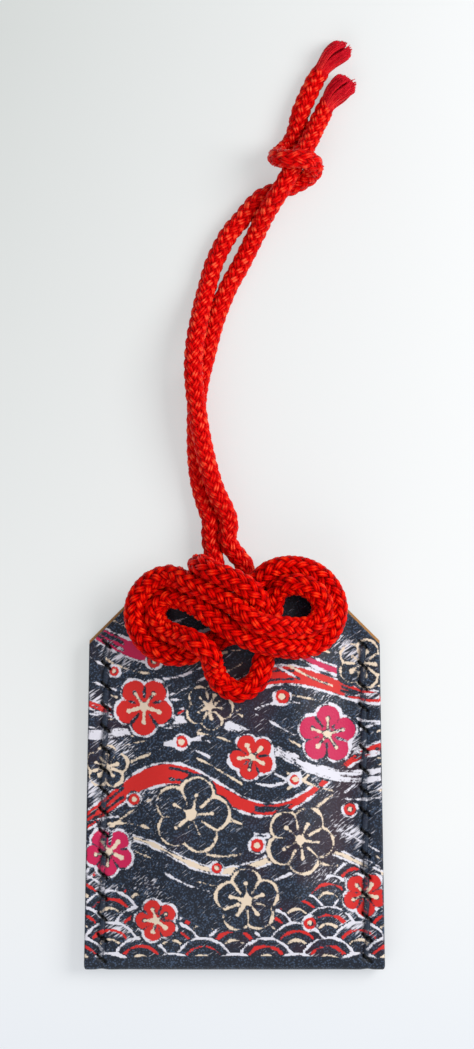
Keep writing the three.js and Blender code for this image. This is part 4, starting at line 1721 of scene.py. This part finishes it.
@dataclass(frozen=True)
class StrapEnd:
    """Where one cord of the strap leaves the pouch, in millimetres."""

    hole_x: float
    neck_x: float
    x: float
    height: float
    route: list[list[float]]


@dataclass
class CordWork:
    """The one cord: its front knot, its two necks in the pocket and its strap, in millimetres.

    The strap's stretches start at heights above the mouth, and each settles in its own way.
    """

    shape: PouchShape
    solid_diameter: float = 3.7
    clearance: float = 0.35
    floor_clearance: float = 0.1
    hole_below_mouth: float = 5.8
    hole_bend: float = 2.1
    bend_points: int = 4
    neck_turn: float = 0.4
    neck_above_mouth: float = 2.6
    split_above_mouth: float = 9.5
    tail_fray: float = 5.0
    exit_samples: int = 60
    left: StrapEnd = StrapEnd(-4.5, -4.5, -4.9, 3.0, LEFT_STRAP_ROUTE)
    right: StrapEnd = StrapEnd(2.2, 3.1, -0.6, 4.4, RIGHT_STRAP_ROUTE)
    knot_cord: BraidedCord = BraidedCord(diameter=4.6)
    strap_cord: BraidedCord = BraidedCord(diameter=3.95, core_diameter=2.3)
    fray: FrayedEnd = FrayedEnd()
    knot_settling: PulledTight = PulledTight()
    strap_settling: PulledTight = PulledTight(contact_share=0.97)
    loop_settling: PulledTight = PulledTight(contact_share=0.97, reach=0.5)
    tail_settling: PulledTight = PulledTight(contact_share=0.97, reach=0.0)
    loop_from: float = 45.0
    end_knot_from: float = 66.0
    tails_from: float = 97.0
    finish: SilkCord = SilkCord()
    # The strap's cords take a paler copy of the yarn's colours.
    paler_finish: SilkCord = SilkCord(crown="#ff5c3a", body="#e40709", flank_shade="#c40208", shade="#7c0006")

    @property
    def knot_level(self) -> float:
        """The height of a cord lying on the front panel."""
        return self.shape.front_face + self.clearance + self.solid_diameter / 2

    @property
    def pocket_level(self) -> float:
        """The height of the cords inside the pocket."""
        return self.shape.front_face / 2

    @property
    def floor_level(self) -> float:
        """The height of a cord lying on the ground."""
        return self.solid_diameter / 2 + self.floor_clearance

    def hole(self, end: StrapEnd) -> list[float]:
        """Gives the middle of a cord hole, measured from the mouth."""
        return [end.hole_x, -self.hole_below_mouth, (self.knot_level + self.pocket_level) / 2]

    def hole_bends(self, end: StrapEnd, level: float, rise: float) -> list[list[float]]:
        """Gives the quarter turn from a level run into a cord hole.

        Args:
            end: The cord's hole.
            level: The height of the level run.
            rise: 1 where the cord turns up from the run, -1 where it turns down.

        Returns:
            Points from the level run to the hole.
        """
        angles = np.linspace(0, math.pi / 2, self.bend_points)
        y = -self.hole_below_mouth + self.hole_bend * (1 - np.sin(angles))
        z = level + rise * self.hole_bend * (1 - np.cos(angles))
        return np.stack([np.full(self.bend_points, end.hole_x), y, z], 1).tolist()

    def run_through(self, points: list[list[float]], step: float) -> Array:
        """Runs a centre line through points that are measured from the mouth."""
        return smooth_route(np.array(points) + [0, self.shape.mouth, 0], step)

    def knot_path(self) -> Array:
        """Gives the front knot's settled centre line.

        Returns:
            Points from the left hole to the right one.
        """
        cord = self.knot_cord
        left = self.hole_bends(self.left, self.knot_level, -1)[::-1]
        right = self.hole_bends(self.right, self.knot_level, -1)
        front = (np.array(KNOT_ROUTE) + [0, 0, self.knot_level]).tolist()
        points = [self.hole(self.left), *left, *front, *right, self.hole(self.right)]
        path = self.run_through(points, cord.step)
        return self.knot_settling.settle([path], cord.diameter, cord.step)[0]

    def strap_path(self, end: StrapEnd) -> Array:
        """Gives one strap cord's centre line as it is drawn.

        Args:
            end: The cord's hole, neck and route.

        Returns:
            Points from its hole through the mouth to the tip of its tail.
        """
        neck = self.hole_bends(end, self.pocket_level, 1)[::-1]
        neck_x = self.neck_turn * end.neck_x + (1 - self.neck_turn) * end.hole_x
        half, split = self.solid_diameter / 2, self.split_above_mouth
        points = [
            self.hole(end),
            *neck,
            [neck_x, -self.hole_below_mouth + 2 * self.hole_bend, self.pocket_level],
            [end.neck_x, self.neck_above_mouth, self.pocket_level],
            *([end.x, y, end.height] for y in (split - half, split, split + half)),
            *(np.array(end.route) + [0, 0, self.floor_level]).tolist(),
        ]
        return self.run_through(points, self.strap_cord.step)

    def lying_straps(self) -> list[Array]:
        """Gives both strap cords as they lie: close together, apart in the loop and tight in the end knot.

        Returns:
            The left and the right centre line.
        """
        starts = self.shape.mouth + np.array([self.loop_from, self.end_knot_from, self.tails_from])
        halves = []
        for path in (self.strap_path(self.left), self.strap_path(self.right)):
            halves.append(np.split(path, [np.argmax(path[:, 1] > start) for start in starts]))
        settlings = (self.strap_settling, self.loop_settling, self.strap_settling, self.tail_settling)
        size, step = self.strap_cord.diameter, self.strap_cord.step
        settled = [each.settle(list(pair), size, step) for each, pair in zip(settlings, zip(*halves))]
        return [np.concatenate(parts) for parts in zip(*settled)]

    def build(self) -> None:
        """Makes and dresses the knot and both strap cords."""
        silk = self.finish.material("plaited rayon cord")
        paler_silk = self.paler_finish.material("plaited rayon cord, paler on the strap")
        knot = self.knot_cord.build("ornamental_knot_cord", self.knot_path(), silk)
        place(knot, Body.POUCH.value, "cord", "ornamental_knot")
        log.info("knot of %d faces", len(knot.data.polygons))
        for word, path in zip(("left", "right"), self.lying_straps()):
            self.build_strap(word, path, paler_silk)

    def build_strap(self, word: str, whole: Array, silk: bpy.types.Material) -> None:
        """Args:
            word: left or right.
            whole: Its centre line in millimetres, from its hole to the tip of its tail.
            silk: The yarn's finish.
        """
        cord, mouth = self.strap_cord, self.shape.mouth
        whole = np.stack([*whole.T[:2], np.maximum(whole[:, 2], cord.diameter / 2)], 1)
        path = whole[: len(whole) - round(self.tail_fray / cord.step)]
        spine = whole[len(path) - round(self.fray.overlap / cord.step) :]
        piece = cord.build(f"strap_braid_{word}", path, silk)
        tail = self.fray.build(f"tail_fray_{word}", spine, silk, TUFT_SEEDS[word])
        place(tail, Body.STRAP.value, "cord")
        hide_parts(f"cord_neck_{word}", f"strap_cord_{word}")
        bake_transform(piece)


@dataclass(frozen=True)
class Lamp:
    """One square lamp that faces the charm, in millimetres and watts."""

    name: str
    place: tuple[float, float, float]
    size: float
    power: float


@dataclass
class Studio:
    """A pale floor, soft light and a camera straight above the charm, in millimetres.

    The floor's ramps are where a change of tone starts and ends, across the floor or along it.
    """

    target: tuple[float, float, float] = (0.5, 49.8, 3.0)
    pixel_mm: float = 0.2
    elevation: float = 88.5
    distance: float = 800.0
    sensor_height: float = 24.0
    clip_start: float = 10.0
    floor_colour: str = "#f1f2f1"
    floor_roughness: float = 0.9
    lit_colour: str = "#f7f9fa"
    # painted shade towards the far left
    shaded_colour: str = "#bec4bf"
    near_colour: str = "#e6ecf5"
    shaded_across: tuple[float, float] = (55.0, -55.0)
    shaded_along: tuple[float, float] = (-50.0, 150.0)
    near_along: tuple[float, float] = (-10.0, -55.0)
    lit_share: float = 0.55
    floor_half_width: float = 4000.0
    floor_gap: float = 0.05
    surround_colour: str = "#f4f6fb"
    surround_strength: float = 0.45
    lamps: tuple[Lamp, ...] = (
        Lamp("key_lamp", (360.0, 150.0, 340.0), 300.0, 2.1),
        Lamp("fill_lamp", (-200.0, -380.0, 420.0), 520.0, 1.1),
    )

    def build(self) -> None:
        """Sets the view transform, floor, lamps and camera."""
        bpy.context.scene.view_settings.view_transform = "Standard"
        self.build_floor()
        self.build_light()
        self.build_camera()

    def build_floor(self) -> None:
        """Makes the floor as one wide square.

        The camera sees its shadows lightened by a share of plain paper white, painted with shade towards
        the far left, as the product of a ramp across and a ramp along the floor, and turning cooler in
        front of the charm.
        """
        half, level = self.floor_half_width, -self.floor_gap
        ring = [[-half, -half, level], [half, -half, level], [half, half, level], [-half, half, level]]
        material, add, shader = new_material("matt white card")
        wire(shader, {"Base Color": linear(self.floor_colour), "Roughness": self.floor_roughness})
        vector = add("TexCoord", output="Object")
        parts = add("SeparateXYZ", {0: vector}).node.outputs
        ramps = ((0, self.shaded_across), (1, self.shaded_along), (1, self.near_along))
        leftward, onward, nearer = (
            add("MapRange", {VALUE: parts[axis], LOW: start * MM, HIGH: end * MM})
            for axis, (start, end) in ramps
        )
        # Painted shade: the floor is painted darker towards the far left, then cooler in front of the
        # charm.
        corner = add("Math", {0: leftward, 1: onward}, operation="MULTIPLY")
        tone = linear(self.lit_colour)
        for share, colour in ((corner, self.shaded_colour), (nearer, self.near_colour)):
            tone = add("Mix", {SHARE: share, UNDER: tone, OVER: linear(colour)}, **COLOUR_MIX)
        rays = add("LightPath").node.outputs
        seen = rays["Is Camera Ray"]
        for kind in ("Is Glossy Ray", "Is Transmission Ray"):
            seen = add("Math", {0: seen, 1: rays[kind]}, operation="MAXIMUM")
        share = add("Math", {0: seen, 1: self.lit_share}, operation="MULTIPLY")
        plain = add("Emission", {0: tone})
        both = add("MixShader", {0: share, 1: shader.outputs[0], 2: plain})
        wire(material.node_tree.nodes["Material Output"], {"Surface": both})
        no_triangles = np.empty((0, 3), int)
        make_object("floor", np.array(ring), np.array([[0, 1, 2, 3]]), no_triangles, material)

    def build_light(self) -> None:
        """Hangs soft lamps in an even white surround."""
        world = bpy.data.worlds.new("white surround")
        bpy.context.scene.world = world
        world.use_nodes = True
        surround = {"Color": linear(self.surround_colour), "Strength": self.surround_strength}
        wire(world.node_tree.nodes["Background"], surround)
        for lamp in self.lamps:
            data = bpy.data.lights.new(lamp.name, "AREA")
            data.size = lamp.size * MM
            data.energy = lamp.power
            self.aim(data, np.array(lamp.place))

    def build_camera(self) -> None:
        """Sets the camera so that one pixel of the photograph covers pixel_mm at the target."""
        data = bpy.data.cameras.new("camera")
        data.sensor_fit = "VERTICAL"
        data.sensor_height = self.sensor_height
        data.lens = data.sensor_height * self.distance / (PHOTO_HEIGHT * self.pixel_mm)
        data.clip_start = self.clip_start * MM
        tilt = math.radians(self.elevation)
        offset = np.array([0.0, -math.cos(tilt), math.sin(tilt)]) * self.distance
        bpy.context.scene.camera = self.aim(data, np.array(self.target) + offset)

    def aim(self, data: bpy.types.ID, place_mm: Array) -> bpy.types.Object:
        """Puts a lamp or camera at a place and turns it to the target, with the strap's way up.

        Args:
            data: The lamp's or camera's data.
            place_mm: Its place.

        Returns:
            The object, linked to the scene.
        """
        thing = bpy.data.objects.new(data.name, data)
        bpy.context.collection.objects.link(thing)
        back = unit(place_mm - np.array(self.target))
        right = unit(np.cross([0.0, 1.0, 0.0], back))
        matrix = np.eye(4)
        matrix[:3, :3] = np.stack([right, np.cross(back, right), back], 1)
        matrix[:3, 3] = place_mm * MM
        thing.matrix_world = Matrix(matrix.tolist())
        return thing


def main() -> None:
    """Builds the pieces in order."""
    logging.basicConfig(level=logging.INFO, format="%(name)s: %(message)s")
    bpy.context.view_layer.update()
    shape = PouchShape()
    design = PrintDesign(shape)
    leather = PrintedLeather()
    Studio().build()
    LeatherPouch(shape, design, leather).build()
    SeamThreads(shape, design, leather).build()
    Contents().build()
    CordWork(shape).build()


if __name__ == "__main__":
    main()
